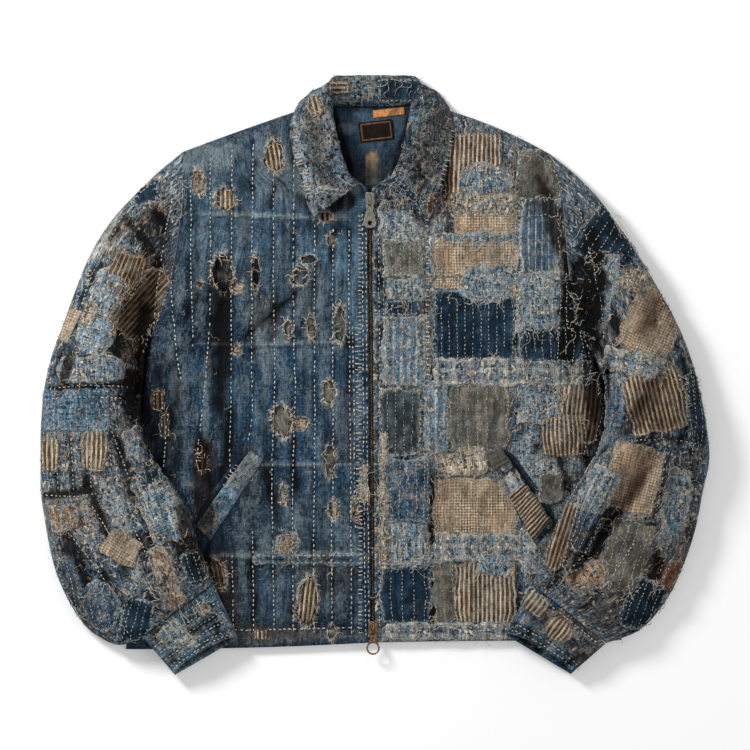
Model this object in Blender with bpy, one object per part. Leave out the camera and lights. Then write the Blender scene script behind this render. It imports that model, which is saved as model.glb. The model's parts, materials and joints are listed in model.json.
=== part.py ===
"""A patched zip-front jacket in the boro manner, laid out flat on its back, its sleeves bent in.

The cloth is modelled as walls: a flat back panel on the surface, two front panels over it, tubes for
the sleeves and cuffs, a rolled collar, and the zip. Sizes are in millimetres and meshes in metres.
+Y points to the collar, +Z up. Left and right are the wearer's, so the left side is at +X.
The origin is on the surface, under the middle of the jacket.
"""

import math

import bmesh
import bpy
import numpy as np
from mathutils import Vector

MM = 0.001
LEFT, RIGHT = 1, -1

# Walls and gaps
CLOTH = 2.0
PATCH = 0.9
BAND = 2.2
SEAM_GAP = 0.4
LAY_GAP = 0.3

# The body, from the hem to the shoulder seam. Each row is one line across the jacket.
BODY_COLUMNS = (
    "front_y", "neck_x", "right_x", "right_y", "left_x", "left_y", "middle_h", "edge_h",
)
BODY_ROWS = (
    (-321.0, 0.0, -299.0, -329.0, 296.0, -318.0, 9.0, 4.5),
    (-262.0, 0.0, -291.0, -266.0, 289.0, -262.0, 15.0, 4.5),
    (-180.0, 0.0, -283.0, -180.0, 281.0, -180.0, 21.0, 4.5),
    (-90.0, 0.0, -281.0, -90.0, 275.0, -92.0, 26.0, 4.5),
    (-30.0, 0.0, -278.0, -30.0, 275.0, -42.0, 29.0, 5.0),
    (18.0, 0.0, -273.5, 22.0, 269.0, 4.0, 30.0, 10.0),
    (85.0, 0.0, -256.0, 80.0, 244.0, 60.0, 30.0, 25.0),
    (135.0, 0.0, -243.0, 126.0, 235.0, 105.0, 29.0, 31.0),
    (180.0, 0.0, -236.0, 168.0, 230.0, 150.0, 27.0, 33.0),
    (222.0, 0.0, -232.0, 206.0, 227.0, 190.0, 25.5, 31.0),
    (250.0, 45.0, -231.0, 226.0, 224.0, 215.0, 24.5, 27.0),
    (285.0, 56.0, -230.0, 247.0, 217.0, 241.0, 23.0, 20.0),
    (325.0, 60.0, -230.0, 268.0, 208.0, 266.0, 21.0, 12.0),
)
ZIP_TOP_X, ZIP_BOTTOM_X = -6.3, -2.2
ZIP_HALF = 2.5
ARMPIT = 18.0
NECK_BOTTOM = 222.0
SHOULDER = 325.0
SHOULDER_H = 7.9
SHOULDER_ROUND = 70.0
SIDE_POWER = 6.0
BACK_NECK_DROP = 5.0
COLLAR_LIFT = 3.4
COLLAR_LIFT_FROM, COLLAR_LIFT_TO = 240.0, 285.0
ROW_BEND, HEM_BEND_FROM = 2.0, -262.0
BOWS = {RIGHT: 1.0, LEFT: 7.0}

# Where the grid lines of the fronts run. They are also the edges of the patches.
BODY_LINES = (
    -321, -296, -262, -228, -192, -160, -126, -79, -48, -12,
    18, 54, 90, 120, 162, 196, 222, 250, 285, 325,
)
ACROSS = {
    RIGHT: (0.0, 0.06, 0.15, 0.25, 0.34, 0.46, 0.56, 0.66, 0.76, 0.86, 0.94, 0.98, 1.0),
    LEFT: (0.0, 0.045, 0.13, 0.23, 0.28, 0.36, 0.50, 0.63, 0.73, 0.83, 0.93, 0.98, 1.0),
}
BACK_ACROSS = (0.0, 0.1, 0.2, 0.3, 0.46, 0.68, 1.0)

# Soft troughs (below zero) and ridges of the fronts
FOLD_COLUMNS = ("from_x", "from_y", "to_x", "to_y", "depth", "width")
BODY_FOLDS = (
    (-184.0, 120.0, -190.0, -70.0, -7.0, 15.0),
    (-206.0, -95.0, -176.0, -290.0, -5.0, 17.0),
    (-232.0, 120.0, -243.0, -40.0, 3.0, 13.0),
    (-128.0, 250.0, -196.0, 175.0, -3.5, 11.0),
    (-62.0, 110.0, -48.0, -250.0, 2.0, 26.0),
    (196.0, 250.0, 214.0, 130.0, -5.0, 13.0),
    (168.0, 190.0, 188.0, 20.0, 2.5, 18.0),
    (226.0, 20.0, 120.0, -50.0, 3.0, 16.0),
    (60.0, -110.0, 72.0, -220.0, -2.5, 15.0),
    (205.0, -150.0, 170.0, -285.0, 3.0, 16.0),
)

# The sleeves, from the armhole to the cuff: the two edges of the laid tube, its height, and its turn
SLEEVE_COLUMNS = ("outer_x", "outer_y", "inner_x", "inner_y", "height")
RIGHT_SLEEVE = (
    (-230.0, 268.0, -265.0, 32.0, 34.0),
    (-260.0, 243.0, -271.0, 28.0, 42.0),
    (-290.0, 214.0, -275.0, 20.0, 48.0),
    (-320.0, 180.0, -277.0, 8.0, 52.0),
    (-342.0, 143.0, -278.0, -6.0, 55.0),
    (-359.0, 102.0, -279.0, -22.0, 57.0),
    (-374.0, 60.0, -280.0, -40.0, 58.0),
    (-389.0, 18.0, -279.0, -60.0, 57.0),
    (-398.0, -28.0, -275.0, -83.0, 56.0),
    (-401.0, -78.0, -264.0, -104.0, 55.0),
    (-401.0, -131.0, -248.0, -126.0, 52.0),
    (-395.0, -179.0, -232.0, -150.0, 50.0),
    (-385.0, -228.0, -218.0, -179.0, 46.0),
    (-364.0, -277.0, -209.0, -208.0, 42.0),
    (-337.0, -310.0, -201.0, -231.0, 36.0),
    (-306.0, -324.0, -196.0, -243.0, 31.0),
    (-279.0, -314.0, -194.0, -250.0, 27.0),
)
LEFT_SLEEVE = (
    (208.0, 266.0, 262.0, 12.0, 34.0),
    (238.0, 242.0, 271.0, 0.0, 42.0),
    (266.0, 214.0, 275.0, -9.0, 48.0),
    (294.0, 176.0, 277.0, -20.0, 52.0),
    (318.0, 140.0, 277.0, -32.0, 55.0),
    (338.0, 106.0, 277.0, -48.0, 57.0),
    (358.0, 70.0, 275.0, -64.0, 58.0),
    (374.0, 34.0, 271.0, -79.0, 57.0),
    (387.0, -8.0, 265.0, -95.0, 56.0),
    (396.0, -52.0, 256.0, -110.0, 55.0),
    (401.0, -97.0, 245.0, -128.0, 53.0),
    (393.0, -140.0, 233.0, -150.0, 50.0),
    (385.0, -181.0, 221.0, -176.0, 47.0),
    (371.0, -225.0, 210.0, -202.0, 43.0),
    (348.0, -272.0, 200.0, -222.0, 38.0),
    (314.0, -308.0, 193.0, -238.0, 32.0),
    (277.0, -322.0, 188.0, -250.0, 27.0),
)
LOWER_TURN, UPPER_TURN = 3.0, 8.0
REST_FROM = 4.5
ROUND_FROM, ROUND_TO = 0.0, 2.5

# Sleeve folds run from one (ring, share across from the outer edge) to another.
SLEEVE_FOLD_COLUMNS = ("from_ring", "from_share", "to_ring", "to_share", "depth", "width")
RIGHT_FOLDS = (
    (0.6, 0.62, 6.5, 0.86, -22.0, 0.13),
    (5.0, 0.10, 8.0, 0.20, -10.0, 0.06),
    (8.4, 0.20, 9.6, 0.85, -4.0, 0.10),
    (10.9, 0.08, 11.4, 0.60, -5.0, 0.09),
    (11.6, 0.30, 15.2, 0.42, -8.0, 0.06),
    (11.0, 0.62, 14.8, 0.70, 4.0, 0.09),
    (2.5, 0.20, 5.0, 0.45, 4.0, 0.12),
)
LEFT_FOLDS = (
    (0.6, 0.58, 6.0, 0.90, -22.0, 0.13),
    (4.4, 0.22, 6.2, 0.30, -9.0, 0.07),
    (6.9, 0.14, 8.1, 0.72, -9.0, 0.08),
    (8.8, 0.12, 8.7, 0.80, 5.0, 0.09),
    (9.0, 0.42, 13.6, 0.68, -15.0, 0.07),
    (10.4, 0.20, 13.8, 0.36, -7.0, 0.06),
    (9.6, 0.70, 12.6, 0.86, 5.0, 0.08),
)

# The cuffs: their opening's outer and inner corners
CUFF_MOUTHS = {RIGHT: (-240.0, -360.0, -164.0, -316.0), LEFT: (235.0, -359.0, 157.0, -312.0)}
CUFF_SEAM_HEIGHT = 25.0
CUFF_MOUTH_HEIGHT = 21.0
CUFF_RINGS = 4
MOUTH_SETBACK, MOUTH_SAG = 9.0, 0.65
REST_GAP = 1.4
REST_REACH = 14.0

# Half of the collar, from the middle of the back to its front end, as places off the jacket's middle line:
# the neck seam, the fold that it rolls over with the roll's radius and lean, the crown and the fall's edge
COLLAR_COLUMNS = (
    "seam_x", "seam_y", "seam_z", "fold_x", "fold_y", "fold_z", "radius", "lean",
    "crown_x", "crown_y", "crown_z", "edge_x", "edge_y", "edge_z",
)
COLLAR_ROWS = (
    (0.0, 321.2, 4.4, 0.0, 358.5, 3.6, 2.0, 0.0, 0.0, 335.0, 1.5, 0.0, 308.0, 1.5),
    (26.0, 322.4, 4.6, 28.0, 359.0, 3.6, 2.0, 0.0, 29.0, 336.0, 1.5, 28.0, 308.0, 1.5),
    (44.0, 325.0, 6.5, 48.0, 358.0, 6.5, 2.3, 20.0, 55.0, 343.0, 1.9, 56.0, 310.0, 1.5),
    (54.0, 325.0, 13.5, 54.0, 347.0, 20.0, 3.0, 65.0, 71.0, 342.0, 4.6, 82.0, 331.0, 1.3),
    (59.0, 314.5, 17.0, 51.0, 333.0, 31.5, 3.5, 100.0, 78.5, 327.0, 21.0, 92.5, 317.0, 11.5),
    (59.0, 299.0, 20.5, 47.0, 312.0, 38.0, 4.0, 130.0, 76.0, 309.0, 34.5, 98.0, 297.0, 22.5),
    (56.0, 280.0, 23.0, 42.0, 290.0, 39.5, 4.5, 160.0, 70.0, 286.0, 38.5, 96.0, 279.0, 27.0),
    (45.0, 255.0, 25.0, 36.0, 266.0, 39.0, 4.5, 175.0, 64.0, 262.0, 38.5, 91.0, 257.0, 29.0),
    (31.0, 243.0, 25.5, 29.0, 247.0, 38.0, 4.0, 180.0, 57.0, 240.0, 38.0, 84.0, 232.0, 29.5),
    (19.0, 235.0, 25.5, 22.0, 236.0, 36.5, 3.6, 180.0, 49.0, 223.0, 37.0, 77.0, 207.0, 30.5),
    (9.0, 228.5, 26.0, 16.5, 229.0, 34.0, 3.2, 180.0, 42.0, 209.5, 36.5, 70.0, 188.0, 31.0),
)
COLLAR_X = (1.5, -4.5)
COLLAR_MIDDLE_Y = 262.0
COLLAR_WALL = 2.0
COLLAR_BETWEEN = 1

# The pockets: the corners of each welt, first along its mouth
WELTS = {
    RIGHT: ((-150.0, -90.0), (-216.0, -181.0), (-197.0, -198.0), (-134.0, -102.0)),
    LEFT: ((149.0, -84.0), (216.0, -178.0), (193.0, -207.0), (130.0, -93.0)),
}
WELT_WALL, WELT_RISE = 1.6, 2.6
LINING_OUT, LINING_IN, LINING_SHORT = 4.5, 5.0, 9.0
LINING_WALL, SEAT = 0.6, 0.35

# The label and the strip above it, on the inside of the back: middle, size and turn in degrees
LABEL = (1.5, 293.0, 40.0, 24.0, -3.0)
NECK_STRIP = (16.5, 314.0, 38.0, 9.0, -3.0)

# Patches, as the panel's grid lines that each one reaches from and to
PATCH_COLUMNS = ("name", "from_level", "to_level", "from_share", "to_share")
FRONT_PATCHES = {
    LEFT: (
        ("stripe_yoke", 222, 285, 0.36, 0.63),
        ("grey_yoke", 196, 250, 0.63, 0.83),
        ("check_chest", 120, 162, 0.28, 0.63),
        ("lined_chest", 120, 196, 0.63, 0.83),
        ("grey_placket", 120, 162, 0.045, 0.23),
        ("navy_chest", 18, 90, 0.28, 0.63),
        ("frayed_side", 54, 120, 0.63, 0.93),
        ("navy_side", 18, 54, 0.63, 0.93),
        ("pale_placket", -12, 90, 0.045, 0.23),
        ("cream_band", -12, 18, 0.28, 0.93),
        ("grey_waist", -79, -12, 0.045, 0.23),
        ("brown_waist", -79, -12, 0.28, 0.63),
        ("stripe_side", -79, -12, 0.83, 0.93),
        ("worn_placket", -160, -79, 0.045, 0.23),
        ("check_pocket", -192, -126, 0.28, 0.50),
        ("plaid_low", -228, -192, 0.28, 0.63),
        ("navy_hem", -296, -228, 0.045, 0.23),
        ("stripe_hem", -296, -228, 0.36, 0.63),
    ),
    RIGHT: (
        ("stripe_hole", 196, 250, 0.34, 0.46),
        ("stripe_low", -296, -228, 0.25, 0.34),
        ("worn_low", -228, -192, 0.06, 0.46),
    ),
}
# Sleeve patches, by ring and by point across its top
SLEEVE_PATCHES = {
    LEFT: (
        ("navy_shoulder", 2, 4, 2, 6),
        ("check_arm", 5, 7, 1, 4),
        ("stripe_elbow", 7, 9, 1, 5),
        ("check_forearm", 10, 12, 2, 6),
        ("navy_wrist", 13, 15, 1, 4),
    ),
    RIGHT: (
        ("stripe_arm", 4, 7, 2, 5),
        ("blue_elbow", 8, 9, 1, 6),
        ("light_forearm", 10, 12, 4, 7),
        ("navy_wrist", 13, 15, 2, 5),
    ),
}
PATCH_INSET = 0.8

# The zip
TAPE_WIDTH, TAPE_WALL = 9.0, 0.8
CHAIN_WIDTH, CHAIN_WALL = 4.0, 2.0
TOP_SLIDER_Y, BOTTOM_SLIDER_Y = 212.0, -303.0
SLIDER_LENGTH, SLIDER_WIDTH, PLATE_WALL = 15.0, 11.0, 1.4
POST_WIDTH = 2.6
BAIL_SPAN, BAIL_WIDTH, BAIL_WALL, BAIL_GAP = 9.0, 2.0, 1.3, 2.9
PULL_WALL, PULL_BAR = 1.5, 1.5
PULL_WINDOW_WIDTH, PULL_WINDOW_LENGTH = 3.6, 8.0
PIVOT_RISE = 1.45
TOP_PULL_LENGTH, TOP_PULL_NECK, TOP_PULL_WIDTH, TOP_PULL_HOLE = 36.0, 9.0, 15.5, 2.7
BOTTOM_PULL_LENGTH, BOTTOM_PULL_WIDTH, BOTTOM_RING = 33.0, 9.5, 8.2


def table(columns, rows):
    """The columns of a table, by name."""
    return {name: np.array(values) for name, values in zip(columns, zip(*rows))}


BODY = table(BODY_COLUMNS, BODY_ROWS)
SLEEVES = {
    RIGHT: table(SLEEVE_COLUMNS, RIGHT_SLEEVE),
    LEFT: table(SLEEVE_COLUMNS, LEFT_SLEEVE),
}
SLEEVE_FOLDS = {
    RIGHT: table(SLEEVE_FOLD_COLUMNS, RIGHT_FOLDS),
    LEFT: table(SLEEVE_FOLD_COLUMNS, LEFT_FOLDS),
}
SIDE_NAMES = {RIGHT: "right", LEFT: "left"}


def smooth(at, keys, values):
    """A smooth curve through a table's values that never overshoots them."""
    at = np.clip(np.asarray(at, float), keys[0], keys[-1])
    step = np.diff(keys)
    rise = np.diff(values) / step
    slope = np.empty(len(keys))
    slope[0], slope[-1] = rise[0], rise[-1]
    same_way = rise[:-1] * rise[1:] > 0
    total = np.where(same_way, rise[:-1] + rise[1:], 1.0)
    slope[1:-1] = np.where(same_way, 2 * rise[:-1] * rise[1:] / total, 0.0)
    i = np.clip(np.searchsorted(keys, at, side="right") - 1, 0, len(step) - 1)
    t = (at - keys[i]) / step[i]
    return (
        (1 + 2 * t) * (1 - t) ** 2 * values[i]
        + t * (1 - t) ** 2 * step[i] * slope[i]
        + t * t * (3 - 2 * t) * values[i + 1]
        + t * t * (t - 1) * step[i] * slope[i + 1]
    )


def body(column, level):
    return smooth(level, BODY["front_y"], BODY[column])


def fold_height(x, y, folds):
    """The sum of soft troughs and ridges, each along a line with tapered ends."""
    total = np.zeros(np.broadcast(x, y).shape)
    for x0, y0, x1, y1, depth, width in folds:
        along = np.array([x1 - x0, y1 - y0])
        length = np.hypot(*along)
        share = ((x - x0) * along[0] + (y - y0) * along[1]) / length**2
        inside = np.clip(share, 0.0, 1.0)
        off = np.hypot(x - x0 - inside * along[0], y - y0 - inside * along[1])
        fade = np.clip(1.25 - np.abs(2 * inside - 1) ** 3, 0.0, 1.0)
        total = total + depth * fade * np.exp(-((off / width) ** 2))
    return total


# The body's surface -----------------------------------------------------------------------------


def zip_x(level):
    """The middle of the zip, which leans a little."""
    return np.interp(level, (BODY_LINES[0], NECK_BOTTOM), (ZIP_BOTTOM_X, ZIP_TOP_X))


def front_edge(side, level):
    """The zip edge of a front, and above it the neckline."""
    x = zip_x(level) + side * (ZIP_HALF + body("neck_x", level))
    return x, np.asarray(level, float)


def outer_edge(side, level):
    """The side seam of the body, and above the armpit its armhole."""
    name = SIDE_NAMES[side]
    return body(name + "_x", level), body(name + "_y", level)


def body_plan(side, share, level):
    """The point of a front at a share of the way from the zip or neckline to the side."""
    x0, y0 = front_edge(side, level)
    x1, y1 = outer_edge(side, level)
    y = y0 + row_bend(share, level) * (y1 - y0)
    return x0 + share * (x1 - x0), y + shoulder_bow(side, share, level)


def row_bend(share, level):
    """The grid's rows run straight across and bend near the side. The shoulder's row is straight."""
    hem = np.clip((HEM_BEND_FROM - level) / (HEM_BEND_FROM - BODY_LINES[0]), 0, 1)
    bent = share ** (1 + ROW_BEND * np.clip((SHOULDER - level) / SHOULDER_ROUND, 0, 1))
    return bent * (1 - hem) + hem * (1 - np.clip(1 - share, 0, 1) ** 2.2)


def shoulder_bow(side, share, level):
    """How far the shoulder seam bows out between the neck and the sleeve."""
    near = np.clip((level - SHOULDER + SHOULDER_ROUND) / SHOULDER_ROUND, 0, 1)
    return BOWS[side] * near * 4 * share * np.clip(1 - share, 0, 1)


def body_height(share, level):
    """The height of the fronts' outer face, without its folds."""
    middle, edge = body("middle_h", level), body("edge_h", level)
    across = np.sqrt(np.clip(1 - np.clip(share, 0, 1) ** SIDE_POWER, 0, 1))
    top = np.clip((SHOULDER - level) / SHOULDER_ROUND, 0, 1)
    shoulder = np.sqrt(1 - (1 - top) ** 2)
    raised = edge + (middle - edge) * across
    return SHOULDER_H + (raised - SHOULDER_H) * np.where(level > ARMPIT, shoulder, 1.0)


def fold_room(share, level):
    """Folds die away towards the seams, so that the panels still meet."""
    side = np.clip((1 - share) / 0.12, 0, 1)
    ends = np.clip((SHOULDER - level) / 45, 0, 1) * np.clip((level + 321) / 30, 0, 1)
    return side * ends


def front_point(side, share, level):
    x, y = body_plan(side, share, level)
    folds = fold_height(x, y, BODY_FOLDS) * fold_room(share, level)
    return np.stack([x, y, body_height(share, level) + folds], axis=-1)


def on_body(x, y):
    """The share and level of a point in plan, on the front that it lies over."""
    x, y = np.broadcast_arrays(np.asarray(x, float), np.asarray(y, float))
    share, level = np.zeros(x.shape), np.clip(y, BODY_LINES[0], SHOULDER)
    for side in (LEFT, RIGHT):
        mine = (x - zip_x(level)) * side >= 0
        here = level.copy()
        for _ in range(12):
            x0, _ = front_edge(side, here)
            x1, y1 = outer_edge(side, here)
            part = np.clip((x - x0) / (x1 - x0), 0.0, 1.3)
            off = y - here - row_bend(part, here) * (y1 - here) - shoulder_bow(side, part, here)
            here = np.clip(here + 0.8 * off, BODY_LINES[0], SHOULDER)
        share, level = np.where(mine, part, share), np.where(mine, here, level)
    return share, level


def height_over_body(x, y):
    """The height of the fronts under a point in plan, or 0 beside them."""
    share, level = on_body(x, y)
    folds = fold_height(x, y, BODY_FOLDS) * fold_room(share, level)
    beside = (share > 1.0) | (y < BODY_LINES[0] - 9) | (y > SHOULDER)
    return np.where(beside, 0.0, body_height(share, level) + folds)


def rest_height(x, y):
    """What a sleeve or cuff lies on: the body's top with some room, or the surface."""
    heights = [
        height_over_body(x + REST_REACH * math.cos(a), y + REST_REACH * math.sin(a))
        for a in np.linspace(0, 2 * math.pi, 8, endpoint=False)
    ]
    highest = np.maximum.reduce([height_over_body(x, y), *heights])
    return np.where(highest > 0, highest + REST_GAP, 0.0)


# Meshes ---------------------------------------------------------------------------------------


def new_object(name, mesh_data, material):
    obj = bpy.data.objects.new(name, mesh_data)
    obj.data.materials.append(material)
    bpy.context.collection.objects.link(obj)
    return obj


def finish_mesh(name, bm, material):
    bmesh.ops.recalc_face_normals(bm, faces=bm.faces)
    mesh_data = bpy.data.meshes.new(name)
    bm.to_mesh(mesh_data)
    bm.free()
    return new_object(name, mesh_data, material)


def grid_normals(points, closed):
    """Unit normals of a grid of points whose columns may close into a ring."""
    if closed:
        across = np.roll(points, -1, axis=1) - np.roll(points, 1, axis=1)
    else:
        across = np.gradient(points, axis=1)
    along = np.gradient(points, axis=0)
    normal = np.cross(across, along)
    return normal / np.maximum(np.linalg.norm(normal, axis=-1, keepdims=True), 1e-9)


def wall(name, outer, inner, material, closed=False):
    """A cloth wall between two grids of points. Closed columns make a tube that is open at both ends."""
    rows, columns = outer.shape[:2]
    bm = bmesh.new()
    skins = [
        [[bm.verts.new(Vector(p) * MM) for p in row] for row in grid]
        for grid in (outer, inner)
    ]
    last = columns if closed else columns - 1
    for skin in skins:
        for i in range(rows - 1):
            for j in range(last):
                k = (j + 1) % columns
                bm.faces.new((skin[i][j], skin[i][k], skin[i + 1][k]))
                bm.faces.new((skin[i][j], skin[i + 1][k], skin[i + 1][j]))
    for i in (0, rows - 1):
        for j in range(last):
            k = (j + 1) % columns
            bm.faces.new((skins[0][i][j], skins[0][i][k], skins[1][i][k], skins[1][i][j]))
    if not closed:
        for j in (0, columns - 1):
            for i in range(rows - 1):
                bm.faces.new(
                    (skins[0][i][j], skins[0][i + 1][j], skins[1][i + 1][j], skins[1][i][j])
                )
    return finish_mesh(name, bm, material)


def material(name, colour, roughness=0.9, metallic=0.0):
    made = bpy.data.materials.new(name)
    made.use_nodes = True
    shader = made.node_tree.nodes["Principled BSDF"]
    shader.inputs["Base Color"].default_value = (*colour, 1.0)
    shader.inputs["Roughness"].default_value = roughness
    shader.inputs["Metallic"].default_value = metallic
    return made


# Panels -----------------------------------------------------------------------------------------


def front_grid(side):
    level, share = np.meshgrid(BODY_LINES, ACROSS[side], indexing="ij")
    return front_point(side, share, level.astype(float))


def under(grid, thickness):
    """The inner face of a panel: below it by its thickness, straight down along its seams."""
    normal = grid_normals(grid, False)
    normal *= np.sign(normal[..., 2:3])
    for edge in (normal[0], normal[-1], normal[:, 0], normal[:, -1]):
        edge[...] = (0, 0, 1)
    return grid - thickness * normal


def make_front(side, cloth):
    outer = front_grid(side)
    return wall("front_" + SIDE_NAMES[side], outer, under(outer, CLOTH), cloth)


def back_plan(side, share, level):
    """A point of the back at a share of the way from its middle to the side. It reaches up to the neck."""
    neck_share = BACK_ACROSS[3]
    rise = np.clip((level - NECK_BOTTOM) / (SHOULDER - NECK_BOTTOM), 0, 1)
    side_x, side_y = outer_edge(side, level)
    low_x, low_y = body_plan(side, neck_share, np.minimum(level, NECK_BOTTOM))
    neck_x, neck_y = front_edge(side, SHOULDER)
    knee_x, knee_y = low_x + rise * (neck_x - low_x), low_y + rise * (neck_y - low_y)
    inner = np.clip(share / neck_share, 0, 1)
    outer = np.clip((share - neck_share) / (1 - neck_share), 0, 1)
    x = zip_x(level) + inner * (knee_x - zip_x(level)) + outer * (side_x - knee_x)
    y = level + inner * (knee_y - level) + outer * (side_y - knee_y)
    y = y + rise * shoulder_bow(side, outer, level)
    return x, y - BACK_NECK_DROP * rise * (1 - inner**2)


def back_grid():
    """The back's upper face: flat, and lifted at the neck by the collar that lies under it."""
    rows = []
    for level in BODY_LINES:
        right = [back_plan(RIGHT, share, float(level)) for share in BACK_ACROSS[::-1]]
        left = [back_plan(LEFT, share, float(level)) for share in BACK_ACROSS[1:]]
        x, y = np.array(right + left, float).T
        near_neck = np.clip((y - COLLAR_LIFT_FROM) / (COLLAR_LIFT_TO - COLLAR_LIFT_FROM), 0, 1)
        inside = np.clip((112.0 - np.abs(x)) / 14.0, 0, 1)
        rows.append(np.stack([x, y, CLOTH + COLLAR_LIFT * near_neck * inside], axis=-1))
    return np.array(rows)


def make_back(cloth):
    outer = back_grid()
    return wall("back", outer, outer - np.array([0, 0, CLOTH]), cloth)


def facet_height(grid, x, y):
    """The height of a grid's own facets above a point in plan."""
    a, b, c, d = grid[:-1, :-1], grid[:-1, 1:], grid[1:, 1:], grid[1:, :-1]
    corners = np.concatenate([
        np.stack([a, b, c], axis=2).reshape(-1, 3, 3),
        np.stack([a, c, d], axis=2).reshape(-1, 3, 3),
    ])
    p, q, r = corners[:, 0], corners[:, 1], corners[:, 2]
    area = (q[:, 0] - p[:, 0]) * (r[:, 1] - p[:, 1]) - (r[:, 0] - p[:, 0]) * (q[:, 1] - p[:, 1])
    area = np.where(np.abs(area) < 1e-9, 1e-9, area)
    u = ((x - p[:, 0]) * (r[:, 1] - p[:, 1]) - (r[:, 0] - p[:, 0]) * (y - p[:, 1])) / area
    v = ((q[:, 0] - p[:, 0]) * (y - p[:, 1]) - (x - p[:, 0]) * (q[:, 1] - p[:, 1])) / area
    inside = np.minimum(np.minimum(u, v), 1 - u - v)
    best = int(np.argmax(inside))
    return float(p[best, 2] + u[best] * (q[best, 2] - p[best, 2]) + v[best] * (r[best, 2] - p[best, 2]))


def laid_strip(grid, corners, rows, columns, lift):
    """A grid of points over the facets of a panel, between four corners, moved up by a lift."""
    corners = np.array(corners, float)
    points = np.empty((rows, columns, 3))
    for i, s in enumerate(np.linspace(0, 1, rows)):
        for j, t in enumerate(np.linspace(0, 1, columns)):
            side_a = corners[0] + s * (corners[1] - corners[0])
            side_b = corners[3] + s * (corners[2] - corners[3])
            x, y = side_a + t * (side_b - side_a)
            points[i, j] = (x, y, facet_height(grid, x, y) + lift(s, t))
    return points


def make_pocket(side, cloth, lining_cloth):
    """A welt that stands a little off the front along its mouth, and the lining that shows there."""
    grid = front_grid(side)
    name = SIDE_NAMES[side]
    top, bottom, _, inner = (np.array(p) for p in WELTS[side])
    inward = (inner - top) / np.hypot(*(inner - top))
    down = LINING_SHORT * (bottom - top) / np.hypot(*(bottom - top))
    lining = (
        top + down - inward * LINING_OUT, bottom - down - inward * LINING_OUT,
        bottom - down + inward * LINING_IN, top + down + inward * LINING_IN,
    )
    base = laid_strip(grid, lining, 9, 3, lambda s, t: SEAT)
    wall("pocket_lining_" + name, base + np.array([0, 0, LINING_WALL]), base, lining_cloth)
    base = laid_strip(grid, WELTS[side], 10, 4, welt_lift)
    wall("pocket_welt_" + name, base + np.array([0, 0, WELT_WALL]), base, cloth)


def welt_lift(along, across):
    """A welt gapes along its mouth, over the lining, and lies on the front at its ends and inner edge."""
    bow = math.sin(math.pi * along) ** 0.3
    gape = LINING_WALL + 1.0 + WELT_RISE * math.sin(math.pi * along)
    return SEAT + bow * gape * np.clip((0.85 - across) / 0.55, 0, 1)


def turned_corners(middle_x, middle_y, width, height, turn):
    c, s = math.cos(math.radians(turn)), math.sin(math.radians(turn))
    halves = ((-1, 1), (-1, -1), (1, -1), (1, 1))
    return [
        (
            middle_x + c * a * width / 2 - s * b * height / 2,
            middle_y + s * a * width / 2 + c * b * height / 2,
        )
        for a, b in halves
    ]


def make_label(name, place, wall_thickness, cloth):
    base = laid_strip(back_grid(), turned_corners(*place), 4, 6, lambda s, t: 0.5)
    wall(name, base + np.array([0, 0, wall_thickness]), base, cloth)


def make_patch(name, grid, rows, columns, cloth):
    """A patch made from a panel's own points, drawn in a little at its edges and moved out."""
    normal = grid_normals(grid, False)
    normal *= np.sign(normal[..., 2:3])
    i, j = slice(rows[0], rows[1] + 1), slice(columns[0], columns[1] + 1)
    base, out = grid[i, j].copy(), normal[i, j]
    for edge, inner in ((0, 1), (-1, -2)):
        step = base[inner] - base[edge]
        base[edge] += step * PATCH_INSET / np.linalg.norm(step, axis=-1, keepdims=True)
        step = base[:, inner] - base[:, edge]
        base[:, edge] += step * PATCH_INSET / np.linalg.norm(step, axis=-1, keepdims=True)
    return wall(name, base + out * (LAY_GAP + PATCH), base + out * LAY_GAP, cloth)


def make_front_patches(side, cloths):
    grid, shares = front_grid(side), list(ACROSS[side])
    for name, low, high, near, far in FRONT_PATCHES[side]:
        rows = BODY_LINES.index(low), BODY_LINES.index(high)
        columns = shares.index(near), shares.index(far)
        full = f"patch_front_{SIDE_NAMES[side]}_{name}"
        make_patch(full, grid, rows, columns, cloths[name.split("_")[0]])


# Sleeves and cuffs ------------------------------------------------------------------------------

ARMHOLE_LINES = [float(v) for v in BODY_LINES if v >= ARMPIT][::-1]
RING_SHARES = np.array([(SHOULDER - v) / (SHOULDER - ARMPIT) for v in ARMHOLE_LINES])


def sleeve(side, column, ring):
    return smooth(ring, np.arange(len(RIGHT_SLEEVE), dtype=float), SLEEVES[side][column])


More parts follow.
